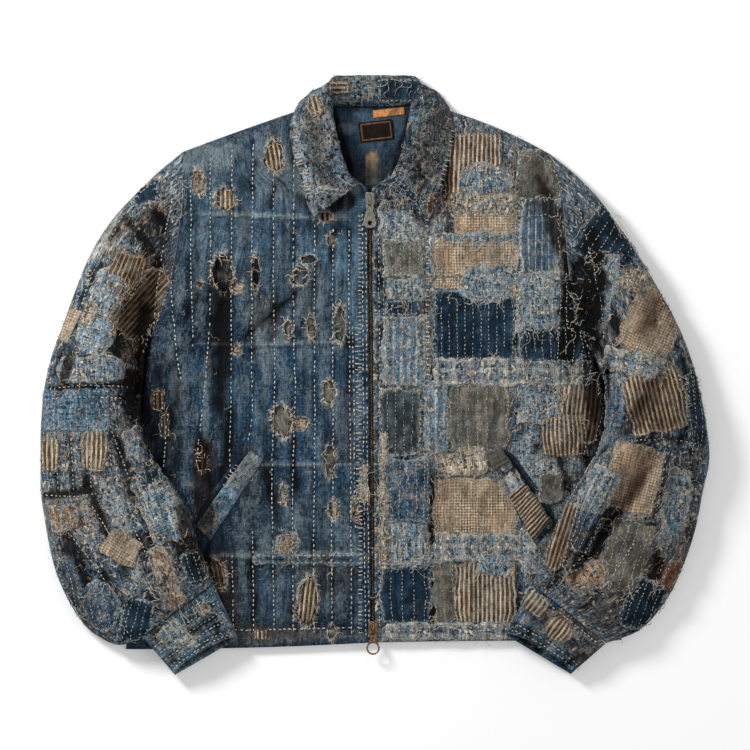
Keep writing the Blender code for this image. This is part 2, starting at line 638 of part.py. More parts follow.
def sleeve_point(side, ring, share, top):
    """A point of a sleeve's outer face. share runs from its outer edge to its inner one, over or under."""
    ring, share = np.broadcast_arrays(np.asarray(ring, float), np.asarray(share, float))
    roundness = np.clip((ring - ROUND_FROM) / (ROUND_TO - ROUND_FROM), 0, 1)
    across = share + roundness * (0.5 - 0.5 * np.cos(np.pi * share) - share)
    x0, y0 = sleeve(side, "outer_x", ring), sleeve(side, "outer_y", ring)
    x1, y1 = sleeve(side, "inner_x", ring), sleeve(side, "inner_y", ring)
    x, y = x0 + across * (x1 - x0), y0 + across * (y1 - y0)
    level = SHOULDER - share * (SHOULDER - ARMPIT)
    hole_x, hole_y = outer_edge(side, level)
    first = [sleeve(side, name, 0.0) for name in ("outer_x", "outer_y", "inner_x", "inner_y")]
    to_hole = np.clip(1 - ring / 3.0, 0, 1) ** 2
    x = x + to_hole * (hole_x - first[0] - share * (first[2] - first[0])) + side * SEAM_GAP
    y = y + to_hole * (hole_y - first[1] - share * (first[3] - first[1]))
    swell = np.sin(np.pi * np.clip(share, 0, 1))
    on_top = np.clip((ring - REST_FROM) / 1.5, 0, 1)
    rests = rest_height(x, y) * on_top
    rest_outer, rest_inner = rest_height(x0, y0) * on_top, rest_height(x1, y1) * on_top
    bed = np.maximum(rests, rest_outer + across * (rest_inner - rest_outer))
    at_seam = np.clip(1 - ring / 1.5, 0, 1) ** 1.5
    if not top:
        turn = LOWER_TURN * (1 - np.sqrt(np.clip(swell, 0, 1))) * (1 - at_seam)
        return np.stack([x, y, rests + turn], axis=-1)
    height = sleeve(side, "height", ring)
    crown = bed + UPPER_TURN + (height - UPPER_TURN) * swell**0.75
    folds = sleeve_fold_lines(SLEEVE_FOLDS[side])
    crown = crown + fold_height(ring, share * 10, folds) * np.clip(swell * 1.6, 0, 1)
    crown = np.maximum(crown, rests + UPPER_TURN + 9.0 * swell)
    return np.stack([x, y, crown * (1 - at_seam) + body_height(1.0, level) * at_seam], axis=-1)


def sleeve_fold_lines(folds):
    """Sleeve folds with their shares across stretched to the size of a ring step."""
    return np.stack(
        [
            folds["from_ring"], folds["from_share"] * 10, folds["to_ring"],
            folds["to_share"] * 10, folds["depth"], folds["width"] * 10,
        ],
        axis=-1,
    )


def sleeve_grid(side):
    rings = np.arange(len(RIGHT_SLEEVE), dtype=float)
    ring, share = np.meshgrid(rings, RING_SHARES, indexing="ij")
    over = sleeve_point(side, ring, share, True)
    below = sleeve_point(side, ring, share, False)
    return np.concatenate([over, below[:, ::-1]], axis=1)


def inside_of(grid, thickness):
    """The inner face of a laid tube: its upper half lowered, its lower half raised, its edges drawn in."""
    half = grid.shape[1] // 2
    faces = []
    for face, drop in ((grid[:, :half], -thickness), (grid[:, half:][:, ::-1], thickness)):
        along = np.gradient(face[..., :2], axis=1)
        along /= np.linalg.norm(along, axis=-1, keepdims=True)
        chord = face[:, -1:, :2] - face[:, :1, :2]
        part = ((face[..., :2] - face[:, :1, :2]) * chord).sum(-1) / (chord**2).sum(-1)
        inner = face.copy()
        inner[..., :2] += along * (thickness * (1 - 2 * np.clip(part, 0, 1)))[..., None]
        inner[..., 2] += drop
        faces.append(inner)
    return np.concatenate([faces[0], faces[1][:, ::-1]], axis=1)


def make_sleeve(side, cloth):
    outer = sleeve_grid(side)
    return wall("sleeve_" + SIDE_NAMES[side], outer, inside_of(outer, CLOTH), cloth, closed=True)


def cuff_point(side, along, share, top):
    """A point of a cuff. along runs from its seam, 0, to its open mouth, 1."""
    along, share = np.broadcast_arrays(np.asarray(along, float), np.asarray(share, float))
    last = len(RIGHT_SLEEVE) - 1.0
    seam = [sleeve(side, name, last) for name in ("outer_x", "outer_y", "inner_x", "inner_y")]
    mouth = CUFF_MOUTHS[side]
    x0, y0, x1, y1 = (a + along * (b - a) for a, b in zip(seam, mouth))
    across = 0.5 - 0.5 * np.cos(np.pi * share)
    x, y = x0 + across * (x1 - x0), y0 + across * (y1 - y0)
    down = np.array([mouth[0] - seam[0] + mouth[2] - seam[2], mouth[1] - seam[1] + mouth[3] - seam[3]])
    down /= np.hypot(*down)
    swell = np.sin(np.pi * share)
    shift = SEAM_GAP * (1 - along)
    if top:
        shift = shift - MOUTH_SETBACK * swell * along**2
    x, y = x + down[0] * shift, y + down[1] * shift
    corners = [rest_height(*seam[:2]), rest_height(*seam[2:]), rest_height(*mouth[:2]), rest_height(*mouth[2:])]
    corners[2] = np.maximum(corners[2], MOUTH_SAG * corners[0])
    at_seam = corners[0] + across * (corners[1] - corners[0])
    at_mouth = corners[2] + across * (corners[3] - corners[2])
    bed = np.maximum(at_seam + along * (at_mouth - at_seam), rest_height(x, y))
    if not top:
        return np.stack([x, y, bed + LOWER_TURN * (1 - np.sqrt(np.clip(swell, 0, 1)))], axis=-1)
    height = CUFF_SEAM_HEIGHT + along * (CUFF_MOUTH_HEIGHT - CUFF_SEAM_HEIGHT)
    return np.stack([x, y, bed + UPPER_TURN + (height - UPPER_TURN) * swell**0.75], axis=-1)


def make_cuff(side, cloth):
    along, share = np.meshgrid(np.linspace(0, 1, CUFF_RINGS), RING_SHARES, indexing="ij")
    over = cuff_point(side, along, share, True)
    below = cuff_point(side, along, share, False)
    outer = np.concatenate([over, below[:, ::-1]], axis=1)
    return wall("cuff_" + SIDE_NAMES[side], outer, inside_of(outer, BAND), cloth, closed=True)


def make_sleeve_patches(side, cloths):
    ring, share = np.meshgrid(np.arange(len(RIGHT_SLEEVE), dtype=float), RING_SHARES, indexing="ij")
    grid = sleeve_point(side, ring, share, True)
    for name, first, last, near, far in SLEEVE_PATCHES[side]:
        full = f"patch_sleeve_{SIDE_NAMES[side]}_{name}"
        make_patch(full, grid, (first, last), (near, far), cloths[name.split("_")[0]])


# The collar ---------------------------------------------------------------------------------------


def collar_section(place):
    """One line of the collar, from the neck seam over the roll to the edge of the fall."""
    at = {name: smooth(place, np.arange(len(COLLAR_ROWS), dtype=float), values)
          for name, values in table(COLLAR_COLUMNS, COLLAR_ROWS).items()}
    point = lambda name: np.array([at[name + "_x"], at[name + "_y"], at[name + "_z"]])
    seam, fold, crown, edge = point("seam"), point("fold"), point("crown"), point("edge")
    out = np.array([edge[0], edge[1] - COLLAR_MIDDLE_Y, 0.0])
    out /= np.linalg.norm(out)
    up = np.array([0.0, 0.0, 1.0])
    lean = math.radians(at["lean"])
    to_fold = math.cos(lean) * out + math.sin(lean) * up
    to_stand = -math.sin(lean) * out + math.cos(lean) * up
    centre = fold - at["radius"] * to_fold
    roll = [
        centre + at["radius"] * (math.cos(a) * to_fold + math.sin(a) * to_stand)
        for a in np.radians((90, 45, 0, -45, -90))
    ]
    stand = [seam, seam + 0.5 * (roll[0] - seam)]
    fall = [crown, 0.5 * (crown + edge) + 0.6 * up * math.sin(lean / 2), edge]
    return np.array(stand + roll + fall)


def make_collar(cloth):
    places = np.linspace(0, len(COLLAR_ROWS) - 1, (len(COLLAR_ROWS) - 1) * COLLAR_BETWEEN + 1)
    half = np.array([collar_section(place) for place in places])
    mirrored = half[1:][::-1] * np.array([-1, 1, 1])
    middle = np.concatenate([mirrored, half])
    places = np.concatenate([places[1:][::-1], places])
    middle[..., 0] += np.interp(places, (1.0, 5.0), COLLAR_X)[:, None]
    normal = grid_normals(middle, False)
    return wall("collar", middle + normal * COLLAR_WALL / 2, middle - normal * COLLAR_WALL / 2, cloth)


# The zip ------------------------------------------------------------------------------------------


def zip_height(level):
    """The upper face of the fronts beside the zip."""
    heights = [front_grid(side)[:, 0, 2] for side in (RIGHT, LEFT)]
    return float(np.interp(level, BODY_LINES, np.maximum(*heights)))


def make_tape(side, cloth):
    levels = [v for v in BODY_LINES if v <= NECK_BOTTOM]
    grid = front_grid(side)
    rows = []
    for i, level in enumerate(levels):
        top = grid[i, 0, 2] - CLOTH - LAY_GAP
        inner, outer = CHAIN_WIDTH / 2 + LAY_GAP, TAPE_WIDTH
        drop = min(0.0, (grid[i, 1, 2] - grid[i, 0, 2])) * TAPE_WIDTH / abs(grid[i, 1, 0] - grid[i, 0, 0])
        rows.append([
            (zip_x(level) + side * inner, level, top),
            (zip_x(level) + side * outer, level, top + drop - 0.15),
        ])
    top = np.array(rows)
    return wall("zip_tape_" + SIDE_NAMES[side], top, top - np.array([0, 0, TAPE_WALL]), cloth)


def make_chain(metal):
    low, high = BOTTOM_SLIDER_Y + 1.0, TOP_SLIDER_Y - 1.0
    levels = [low, *[v for v in BODY_LINES if low + 2 < v < high - 2], high]
    rows = []
    for level in levels:
        x, z = zip_x(level), zip_height(level) - CLOTH + 0.5
        rows.append([(x + a * CHAIN_WIDTH / 2, level, z) for a in (-1, 1)])
    top = np.array(rows)
    return wall("zip_chain", top, top - np.array([0, 0, CHAIN_WALL]), metal)


def prism(bm, outline, low, high):
    """A closed plate between two heights, from an outline in plan."""
    rings = [[bm.verts.new(Vector((x, y, z)) * MM) for x, y in outline] for z in (low, high)]
    bm.faces.new(rings[0][::-1])
    bm.faces.new(rings[1])
    count = len(outline)
    for i in range(count):
        j = (i + 1) % count
        bm.faces.new((rings[0][i], rings[0][j], rings[1][j], rings[1][i]))


def plate_with_holes(name, outline, holes, low, high, metal):
    """A plate with openings, cut with exact booleans."""
    bm = bmesh.new()
    prism(bm, outline, low, high)
    plate = finish_mesh(name, bm, metal)
    for number, hole in enumerate(holes):
        bm = bmesh.new()
        prism(bm, hole, low - 1, high + 1)
        cutter = finish_mesh(f"cutter_{name}_{number}", bm, metal)
        cut(plate, cutter, "DIFFERENCE")
    return plate


def cut(target, tool, operation):
    """Apply a boolean at once and drop its tool."""
    modifier = target.modifiers.new("cut", "BOOLEAN")
    modifier.operation, modifier.object, modifier.solver = operation, tool, "EXACT"
    graph = bpy.context.evaluated_depsgraph_get()
    result = bpy.data.meshes.new_from_object(target.evaluated_get(graph))
    target.modifiers.remove(modifier)
    target.data = result
    bpy.data.objects.remove(tool)


def ellipse(x, y, a, b, count=20):
    return [(x + a * math.cos(2 * math.pi * i / count), y + b * math.sin(2 * math.pi * i / count)) for i in range(count)]


def rounded(x0, y0, x1, y1, radius, steps=3):
    """A rectangle with round corners."""
    outline = []
    for cx, cy, start in ((x1, y1, 0), (x0, y1, 90), (x0, y0, 180), (x1, y0, 270)):
        ox = cx - math.copysign(radius, cx - (x0 + x1) / 2)
        oy = cy - math.copysign(radius, cy - (y0 + y1) / 2)
        for k in range(steps + 1):
            a = math.radians(start + 90 * k / steps)
            outline.append((ox + radius * math.cos(a), oy + radius * math.sin(a)))
    return outline


def slider_face(level):
    """The underside of a slider's upper plate, clear of both fronts over all its length."""
    reach = SLIDER_LENGTH / 2 + 1
    grids = [front_grid(side) for side in (RIGHT, LEFT)]
    return 0.4 + max(
        facet_height(grid, float(zip_x(y)) + side * x, y)
        for grid, side in zip(grids, (RIGHT, LEFT))
        for y in (level - reach, level, level + reach)
        for x in (ZIP_HALF, SLIDER_WIDTH / 2)
    )


def make_slider(name, level, opens, metal):
    """A slider: two plates joined by a post that stands on the open side of the chain, and a bail."""
    half_w, half_l = SLIDER_WIDTH / 2, SLIDER_LENGTH / 2
    x, face = float(zip_x(level)), slider_face(level)
    floor = min(zip_height(level - half_l), zip_height(level + half_l))
    floor -= CLOTH + LAY_GAP + TAPE_WALL + 0.7
    bm = bmesh.new()
    prism(bm, rounded(x - half_w, level - half_l, x + half_w, level + half_l, 2.6), face, face + PLATE_WALL)
    slider = finish_mesh(name, bm, metal)
    post_y = level + opens * (half_l - 3.0)
    parts = [
        (rounded(x - half_w, level - half_l, x + half_w, level + half_l, 2.6), floor - 1.0, floor),
        (ellipse(x, post_y, POST_WIDTH / 2, 2.0, 12), floor - 0.5, face + 0.5),
    ]
    top = face + PLATE_WALL
    foot = BAIL_SPAN / 2
    for y0, y1, low, high in (
        (-foot, -foot + BAIL_WALL, top - 0.5, top + BAIL_GAP + 0.4),
        (foot - BAIL_WALL, foot, top - 0.5, top + BAIL_GAP + 0.4),
        (-foot, foot, top + BAIL_GAP, top + BAIL_GAP + BAIL_WALL),
    ):
        box = [
            (x - BAIL_WIDTH / 2, level + y0), (x + BAIL_WIDTH / 2, level + y0),
            (x + BAIL_WIDTH / 2, level + y1), (x - BAIL_WIDTH / 2, level + y1),
        ]
        parts.append((box, low, high))
    for number, (outline, low, high) in enumerate(parts):
        bm = bmesh.new()
        prism(bm, outline, low, high)
        cut(slider, finish_mesh(f"{name}_part_{number}", bm, metal), "UNION")
    return slider


def pull_place(level):
    """The axis of a pull, in the middle of its slider's bail."""
    return float(zip_x(level)), level, slider_face(level) + PLATE_WALL + PIVOT_RISE


def make_pull(name, level, outline, hole, metal):
    """A pull that lies towards the hem. Its origin is on the axis that it turns about."""
    x, y, z = pull_place(level)
    window = [
        (x - PULL_WINDOW_WIDTH / 2, y - PULL_BAR / 2 - PULL_WINDOW_LENGTH),
        (x + PULL_WINDOW_WIDTH / 2, y - PULL_BAR / 2 - PULL_WINDOW_LENGTH),
        (x + PULL_WINDOW_WIDTH / 2, y - PULL_BAR / 2),
        (x - PULL_WINDOW_WIDTH / 2, y - PULL_BAR / 2),
    ]
    shape = [(x + px, y + py) for px, py in outline]
    openings = [window, [(x + px, y + py) for px, py in hole]]
    pull = plate_with_holes(name, shape, openings, z - PULL_WALL / 2, z + PULL_WALL / 2, metal)
    for vertex in pull.data.vertices:
        vertex.co -= Vector((x, y, z)) * MM
    pull.location = Vector((x, y, z)) * MM
    return pull


def top_pull_outline():
    """A tab that widens to a round end."""
    neck, wide, length = TOP_PULL_NECK / 2, TOP_PULL_WIDTH / 2, TOP_PULL_LENGTH
    right = [(neck, PULL_BAR / 2), (neck, -10.0), (neck * 0.86, -14.0), (wide * 0.8, -22.0), (wide, -28.0)]
    end = [(wide * math.cos(a), -length + 6.5 - 6.5 * math.sin(a)) for a in np.radians((0, 25, 50, 75))]
    half = right + end
    return [(-px, py) for px, py in half] + half[::-1]


def bottom_pull_outline():
    """A narrow tab that ends in a ring."""
    half, ring, length = BOTTOM_PULL_WIDTH / 2, BOTTOM_RING, BOTTOM_PULL_LENGTH
    right = [(half, PULL_BAR / 2), (half, -10.0), (half * 0.7, -14.0)]
    round_end = [
        (ring * math.cos(a), -length + ring - ring * math.sin(a)) for a in np.radians((-35, -10, 15, 40, 65, 85))
    ]
    shape = right + round_end
    return [(-px, py) for px, py in shape] + shape[::-1]


def clear_scene():
    for obj in list(bpy.data.objects):
        bpy.data.objects.remove(obj)


def main():
    clear_scene()
    denim = material("indigo_cloth", (0.055, 0.11, 0.19))
    cloths = {
        "stripe": material("ticking_cloth", (0.30, 0.25, 0.18)),
        "grey": material("grey_canvas", (0.10, 0.11, 0.11)),
        "check": material("tan_check_cloth", (0.30, 0.22, 0.13)),
        "lined": material("lined_blue_cloth", (0.10, 0.16, 0.22)),
        "navy": material("navy_cloth", (0.015, 0.035, 0.08)),
        "frayed": material("frayed_blue_cloth", (0.13, 0.20, 0.27)),
        "pale": material("pale_blue_cloth", (0.20, 0.27, 0.32)),
        "cream": material("cream_cloth", (0.45, 0.38, 0.27)),
        "brown": material("brown_canvas", (0.16, 0.13, 0.09)),
        "worn": material("worn_blue_cloth", (0.08, 0.15, 0.23)),
        "plaid": material("faded_plaid_cloth", (0.24, 0.26, 0.26)),
        "blue": material("blue_grid_cloth", (0.09, 0.17, 0.25)),
        "light": material("light_frayed_cloth", (0.28, 0.31, 0.31)),
    }
    lining = material("pocket_lining_cloth", (0.04, 0.10, 0.20))
    tape = material("zip_tape_cloth", (0.03, 0.03, 0.035))
    brass = material("aged_brass", (0.22, 0.13, 0.06), 0.45, 1.0)
    pewter = material("pewter", (0.28, 0.27, 0.25), 0.4, 1.0)
    make_back(denim)
    for side in (RIGHT, LEFT):
        make_front(side, denim)
        make_sleeve(side, denim)
        make_cuff(side, denim)
        make_tape(side, tape)
        make_pocket(side, denim, lining)
        make_front_patches(side, cloths)
        make_sleeve_patches(side, cloths)
    make_collar(denim)
    make_label("neck_label", LABEL, 0.8, material("label_cloth", (0.03, 0.02, 0.015)))
    make_label("neck_strip", NECK_STRIP, 0.8, material("rust_cloth", (0.45, 0.22, 0.08)))
    make_chain(brass)
    make_slider("slider_top", TOP_SLIDER_Y, 1, pewter)
    make_slider("slider_bottom", BOTTOM_SLIDER_Y, -1, brass)
    top_hole = ellipse(0.0, -TOP_PULL_LENGTH + 6.5, TOP_PULL_HOLE, TOP_PULL_HOLE, 16)
    make_pull("pull_top", TOP_SLIDER_Y, top_pull_outline(), top_hole, pewter)
    ring_hole = ellipse(0.0, -BOTTOM_PULL_LENGTH + BOTTOM_RING, BOTTOM_RING - 2.2, BOTTOM_RING - 2.2)
    make_pull("pull_bottom", BOTTOM_SLIDER_Y, bottom_pull_outline(), ring_hole, brass)


main()
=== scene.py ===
# %% [markdown]
# # A patched jacket in the boro manner
# Boro cloth is old cotton that was patched and stitched again and again. The jacket lies flat on its
# back with both sleeves bent in. The frame holds its plain solid walls. This lesson dresses them:
# fine panels with creases, patches that follow them, stitches, loose threads and metal.

# %% Load the frame
import json
import math

import bpy
import numpy as np
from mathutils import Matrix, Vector
from mathutils.bvhtree import BVHTree

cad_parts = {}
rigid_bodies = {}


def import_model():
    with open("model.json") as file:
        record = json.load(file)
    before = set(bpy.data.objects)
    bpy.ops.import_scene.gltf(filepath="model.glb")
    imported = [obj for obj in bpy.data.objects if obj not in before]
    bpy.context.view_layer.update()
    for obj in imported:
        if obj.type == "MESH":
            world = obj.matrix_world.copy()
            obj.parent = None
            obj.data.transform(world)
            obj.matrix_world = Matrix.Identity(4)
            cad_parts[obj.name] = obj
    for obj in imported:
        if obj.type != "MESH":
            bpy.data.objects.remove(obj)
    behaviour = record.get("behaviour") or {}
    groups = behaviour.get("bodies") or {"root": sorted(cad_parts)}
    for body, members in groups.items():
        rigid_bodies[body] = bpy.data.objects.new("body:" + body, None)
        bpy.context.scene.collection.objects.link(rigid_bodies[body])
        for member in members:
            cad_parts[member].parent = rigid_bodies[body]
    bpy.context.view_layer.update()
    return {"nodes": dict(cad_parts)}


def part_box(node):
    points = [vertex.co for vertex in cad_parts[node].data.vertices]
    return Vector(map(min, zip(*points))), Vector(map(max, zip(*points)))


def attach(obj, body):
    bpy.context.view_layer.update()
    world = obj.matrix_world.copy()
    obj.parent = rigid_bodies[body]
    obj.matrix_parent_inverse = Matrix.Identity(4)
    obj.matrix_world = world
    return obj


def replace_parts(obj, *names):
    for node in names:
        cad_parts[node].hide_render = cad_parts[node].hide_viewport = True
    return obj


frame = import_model()
MM = 0.001
LEFT, RIGHT = 1, -1
SIDE_NAMES = {RIGHT: "right", LEFT: "left"}
print("the frame has", len(frame["nodes"]), "nodes")

# %% [markdown]
# ## Camera, floor and lamps
# The jacket lies on a table and is seen from straight above, so an orthographic camera looks down.
# A large soft lamp comes from the upper left, low enough that every crease and stitch gets a light
# side and a dark one. The pale floor keeps a soft shadow.

# %% Camera and lamps
def soft_lamp(name, place, size, power):
    lamp = bpy.data.lights.new(name, "AREA")
    lamp.shape, lamp.size, lamp.energy = "DISK", size, power
    made = bpy.data.objects.new(name, lamp)
    made.location = place
    made.rotation_euler = (-Vector(place)).to_track_quat("-Z", "Y").to_euler()
    bpy.context.collection.objects.link(made)


camera = bpy.data.cameras.new("camera")
camera.type, camera.ortho_scale = "ORTHO", 0.9
view_from = bpy.data.objects.new("camera", camera)
view_from.location = (0.0, 0.0, 3.0)
bpy.context.collection.objects.link(view_from)
bpy.context.scene.camera = view_from
bpy.context.scene.view_settings.view_transform = "Standard"
soft_lamp("key", (-1.6, 1.3, 1.5), 0.7, 58.0)
soft_lamp("fill", (1.8, -0.6, 2.0), 1.8, 12.0)
world = bpy.data.worlds.new("studio")
world.use_nodes = True
world.node_tree.nodes["Background"].inputs["Color"].default_value = (1, 1, 1, 1)
world.node_tree.nodes["Background"].inputs["Strength"].default_value = 0.42
bpy.context.scene.world = world
print("lamps:", [lamp.name for lamp in bpy.data.lights], "camera:", round(camera.ortho_scale, 2), "m across")

# %% [markdown]
# ## Colours and soft randomness
# Colours are written as they look on a screen, from 0 to 255, and turned into the linear values
# that Blender mixes. Random hills on a lattice give the wobble of worn edges and the crumpling.

# %% Palette and noise
PALETTE = {
    "ink": (4, 7, 10), "umber": (24, 16, 9), "brown": (70, 50, 31), "rust": (124, 70, 38),
    "navy": (16, 33, 48), "indigo": (22, 47, 68), "blue": (34, 68, 94), "sky": (80, 112, 134),
    "pale": (150, 166, 172), "bone": (198, 193, 180), "cream": (228, 214, 188), "tan": (170, 134, 97),
    "orange": (206, 140, 80), "stone": (112, 105, 92), "grey": (78, 80, 76), "slate": (40, 48, 53),
    "mesh": (66, 92, 112), "dusk": (38, 44, 48), "black": (2, 2, 3),
}
print("colours:", len(PALETTE))


def linear(value):
    value = np.asarray(value, float) / 255.0
    return np.where(value <= 0.04045, value / 12.92, ((value + 0.055) / 1.055) ** 2.4)


def colour(name):
    return linear(PALETTE[name] if isinstance(name, str) else name)


def lattice(i, j, seed):
    """A repeatable number from 0 to 1 for each whole-number place."""
    n = (i * 374761393 + j * 668265263 + seed * 974634777) & 0xFFFFFFFF
    n = ((n ^ (n >> 13)) * 1274126177) & 0xFFFFFFFF
    return ((n ^ (n >> 16)) & 0xFFFF) / 65535.0


def hills(x, y, size, seed=0, stretch=1.0):
    """Soft random hills from -1 to 1, that size across and longer along y by the stretch."""
    u, v = np.asarray(x, float) / size, np.asarray(y, float) / (size * stretch)
    i, j = np.floor(u).astype(np.int64), np.floor(v).astype(np.int64)
    a, b = u - i, v - j
    a, b = a * a * (3 - 2 * a), b * b * (3 - 2 * b)
    low = lattice(i, j, seed) * (1 - a) + lattice(i + 1, j, seed) * a
    high = lattice(i, j + 1, seed) * (1 - a) + lattice(i + 1, j + 1, seed) * a
    return 2 * (low * (1 - b) + high * b) - 1


# %% [markdown]
# ## The jacket's own surfaces
# The same tables and rules that shape the solid walls, in millimetres. Each function gives a point
# of the cloth from a place on its panel, so that the fine panels here lie on the solids' own form.

# %% Tables of the body
def listed(text):
    """The rows of a table. Blanks part the words and numbers of a row, and semicolons part the rows."""
    return [tuple(v if v[0].isalpha() else float(v) for v in row.split()) for row in text.split(";")]


def table(columns, rows):
    return {name: np.array(values) for name, values in zip(columns, zip(*rows))}


BODY = table(
    ("front_y", "neck_x", "right_x", "right_y", "left_x", "left_y", "middle_h", "edge_h"),
    listed("""
    -321 0 -299 -329 296 -318 9 4.5; -262 0 -291 -266 289 -262 15 4.5; -180 0 -283 -180 281 -180 21 4.5;
    -90 0 -281 -90 275 -92 26 4.5; -30 0 -278 -30 275 -42 29 5; 18 0 -273.5 22 269 4 30 10;
    85 0 -256 80 244 60 30 25; 135 0 -243 126 235 105 29 31; 180 0 -236 168 230 150 27 33;
    222 0 -232 206 227 190 25.5 31; 250 45 -231 226 224 215 24.5 27; 285 56 -230 247 217 241 23 20;
    325 60 -230 268 208 266 21 12
    """),
)
HEM, ARMPIT, NECK_BOTTOM, SHOULDER = -321.0, 18.0, 222.0, 325.0
ZIP_TOP_X, ZIP_BOTTOM_X, ZIP_HALF = -6.3, -2.2, 2.5
SHOULDER_H, SHOULDER_ROUND, SIDE_POWER = 7.9, 70.0, 6.0
BOWS = {RIGHT: 1.0, LEFT: 7.0}
# Each fold: from x and y, to x and y, depth, width
BODY_FOLDS = listed("""
    -184 120 -190 -70 -7 15; -206 -95 -176 -290 -5 17; -232 120 -243 -40 3 13; -128 250 -196 175 -3.5 11;
    -62 110 -48 -250 2 26; 196 250 214 130 -5 13; 168 190 188 20 2.5 18; 226 20 120 -50 3 16; 60 -110 72 -220 -2.5 15;
    205 -150 170 -285 3 16
""")
print("levels of the body:", len(BODY["front_y"]), "folds:", len(BODY_FOLDS))


# %% Soft curves and folds
def unit(value):
    """The value kept from 0 to 1."""
    return np.clip(value, 0, 1)


def bell(far, width):
    """1 at no distance, and falling softly to 0 beyond that width."""
    return np.exp(-((far / width) ** 2))


def smooth(at, keys, values):
    """A smooth curve through a table's values that never overshoots them."""
    at = np.clip(np.asarray(at, float), keys[0], keys[-1])
    step = np.diff(keys)
    rise = np.diff(values) / step
    slope = np.empty(len(keys))
    slope[0], slope[-1] = rise[0], rise[-1]
    same_way = rise[:-1] * rise[1:] > 0
    total = np.where(same_way, rise[:-1] + rise[1:], 1.0)
    slope[1:-1] = np.where(same_way, 2 * rise[:-1] * rise[1:] / total, 0.0)
    i = np.clip(np.searchsorted(keys, at, side="right") - 1, 0, len(step) - 1)
    t = (at - keys[i]) / step[i]
    return (
        (1 + 2 * t) * (1 - t) ** 2 * values[i]
        + t * (1 - t) ** 2 * step[i] * slope[i]
        + t * t * (3 - 2 * t) * values[i + 1]
        + t * t * (t - 1) * step[i] * slope[i + 1]
    )


def body(column, level):
    """A column of the body's table at a level."""
    return smooth(level, BODY["front_y"], BODY[column])


def fold_height(x, y, folds):
    """The sum of soft troughs and ridges, each along a line with tapered ends."""
    total = np.zeros(np.broadcast(x, y).shape)
    for x0, y0, x1, y1, depth, width in folds:
        along = np.array([x1 - x0, y1 - y0])
        share = ((x - x0) * along[0] + (y - y0) * along[1]) / (along**2).sum()
        inside = unit(share)
        off = np.hypot(x - x0 - inside * along[0], y - y0 - inside * along[1])
        fade = unit(1.25 - np.abs(2 * inside - 1) ** 3)
        total = total + depth * fade * bell(off, width)
    return total


print("hem:", round(float(body("left_x", HEM) - body("right_x", HEM))), "mm wide")


# %% The body's surface
def zip_x(level):
    return np.interp(level, (HEM, NECK_BOTTOM), (ZIP_BOTTOM_X, ZIP_TOP_X))


def front_edge(side, level):
    return zip_x(level) + side * (ZIP_HALF + body("neck_x", level)), np.asarray(level, float)


def outer_edge(side, level):
    name = SIDE_NAMES[side]
    return body(name + "_x", level), body(name + "_y", level)


def row_bend(share, level):
    hem = unit((-262.0 - level) / (-262.0 - HEM))
    bent = share ** (1 + 2.0 * unit((SHOULDER - level) / SHOULDER_ROUND))
    return bent * (1 - hem) + hem * (1 - unit(1 - share) ** 2.2)


def shoulder_bow(side, share, level):
    near = unit((level - SHOULDER + SHOULDER_ROUND) / SHOULDER_ROUND)
    return BOWS[side] * near * 4 * share * unit(1 - share)


def body_plan(side, share, level):
    x0, y0 = front_edge(side, level)
    x1, y1 = outer_edge(side, level)
    y = y0 + row_bend(share, level) * (y1 - y0)
    return x0 + share * (x1 - x0), y + shoulder_bow(side, share, level)


def body_height(share, level):
    middle, edge = body("middle_h", level), body("edge_h", level)
    across = np.sqrt(unit(1 - unit(share) ** SIDE_POWER))
    top = unit((SHOULDER - level) / SHOULDER_ROUND)
    raised = edge + (middle - edge) * across
    return SHOULDER_H + (raised - SHOULDER_H) * np.where(level > ARMPIT, np.sqrt(1 - (1 - top) ** 2), 1.0)


def fold_room(share, level):
    side = unit((1 - share) / 0.12)
    ends = unit((SHOULDER - level) / 45) * unit((level - HEM) / 30)
    return side * ends


print("zip edges at the hem:", [round(float(front_edge(side, HEM)[0]), 1) for side in SIDE_NAMES])


# %% What a sleeve rests on
def on_body(x, y):
    """The share and level of a point in plan, on the front that it lies over."""
    x, y = np.broadcast_arrays(np.asarray(x, float), np.asarray(y, float))
    share, level = np.zeros(x.shape), np.clip(y, HEM, SHOULDER)
    for side in (LEFT, RIGHT):
        mine = (x - zip_x(level)) * side >= 0
        here = level.copy()
        for _ in range(12):
            x0, _ = front_edge(side, here)
            x1, y1 = outer_edge(side, here)
            part = np.clip((x - x0) / (x1 - x0), 0.0, 1.3)
            off = y - here - row_bend(part, here) * (y1 - here) - shoulder_bow(side, part, here)
            here = np.clip(here + 0.8 * off, HEM, SHOULDER)
        share, level = np.where(mine, part, share), np.where(mine, here, level)
    return share, level


def height_over_body(x, y):
    share, level = on_body(x, y)
    folds = fold_height(x, y, BODY_FOLDS) * fold_room(share, level)
    beside = (share > 1.0) | (y < HEM - 9) | (y > SHOULDER)
    return np.where(beside, 0.0, body_height(share, level) + folds)


REST_REACH, REST_GAP = 14.0, 1.4


def rest_height(x, y):
    """What a sleeve or cuff lies on: the body's top with some room, or the surface."""
    heights = [
        height_over_body(x + REST_REACH * math.cos(a), y + REST_REACH * math.sin(a))
        for a in np.linspace(0, 2 * math.pi, 8, endpoint=False)
    ]
    highest = np.maximum.reduce([height_over_body(x, y), *heights])
    return np.where(highest > 0, highest + REST_GAP, 0.0)


print("a sleeve on the chest rests at", round(float(rest_height(200.0, 0.0)), 1), "mm")


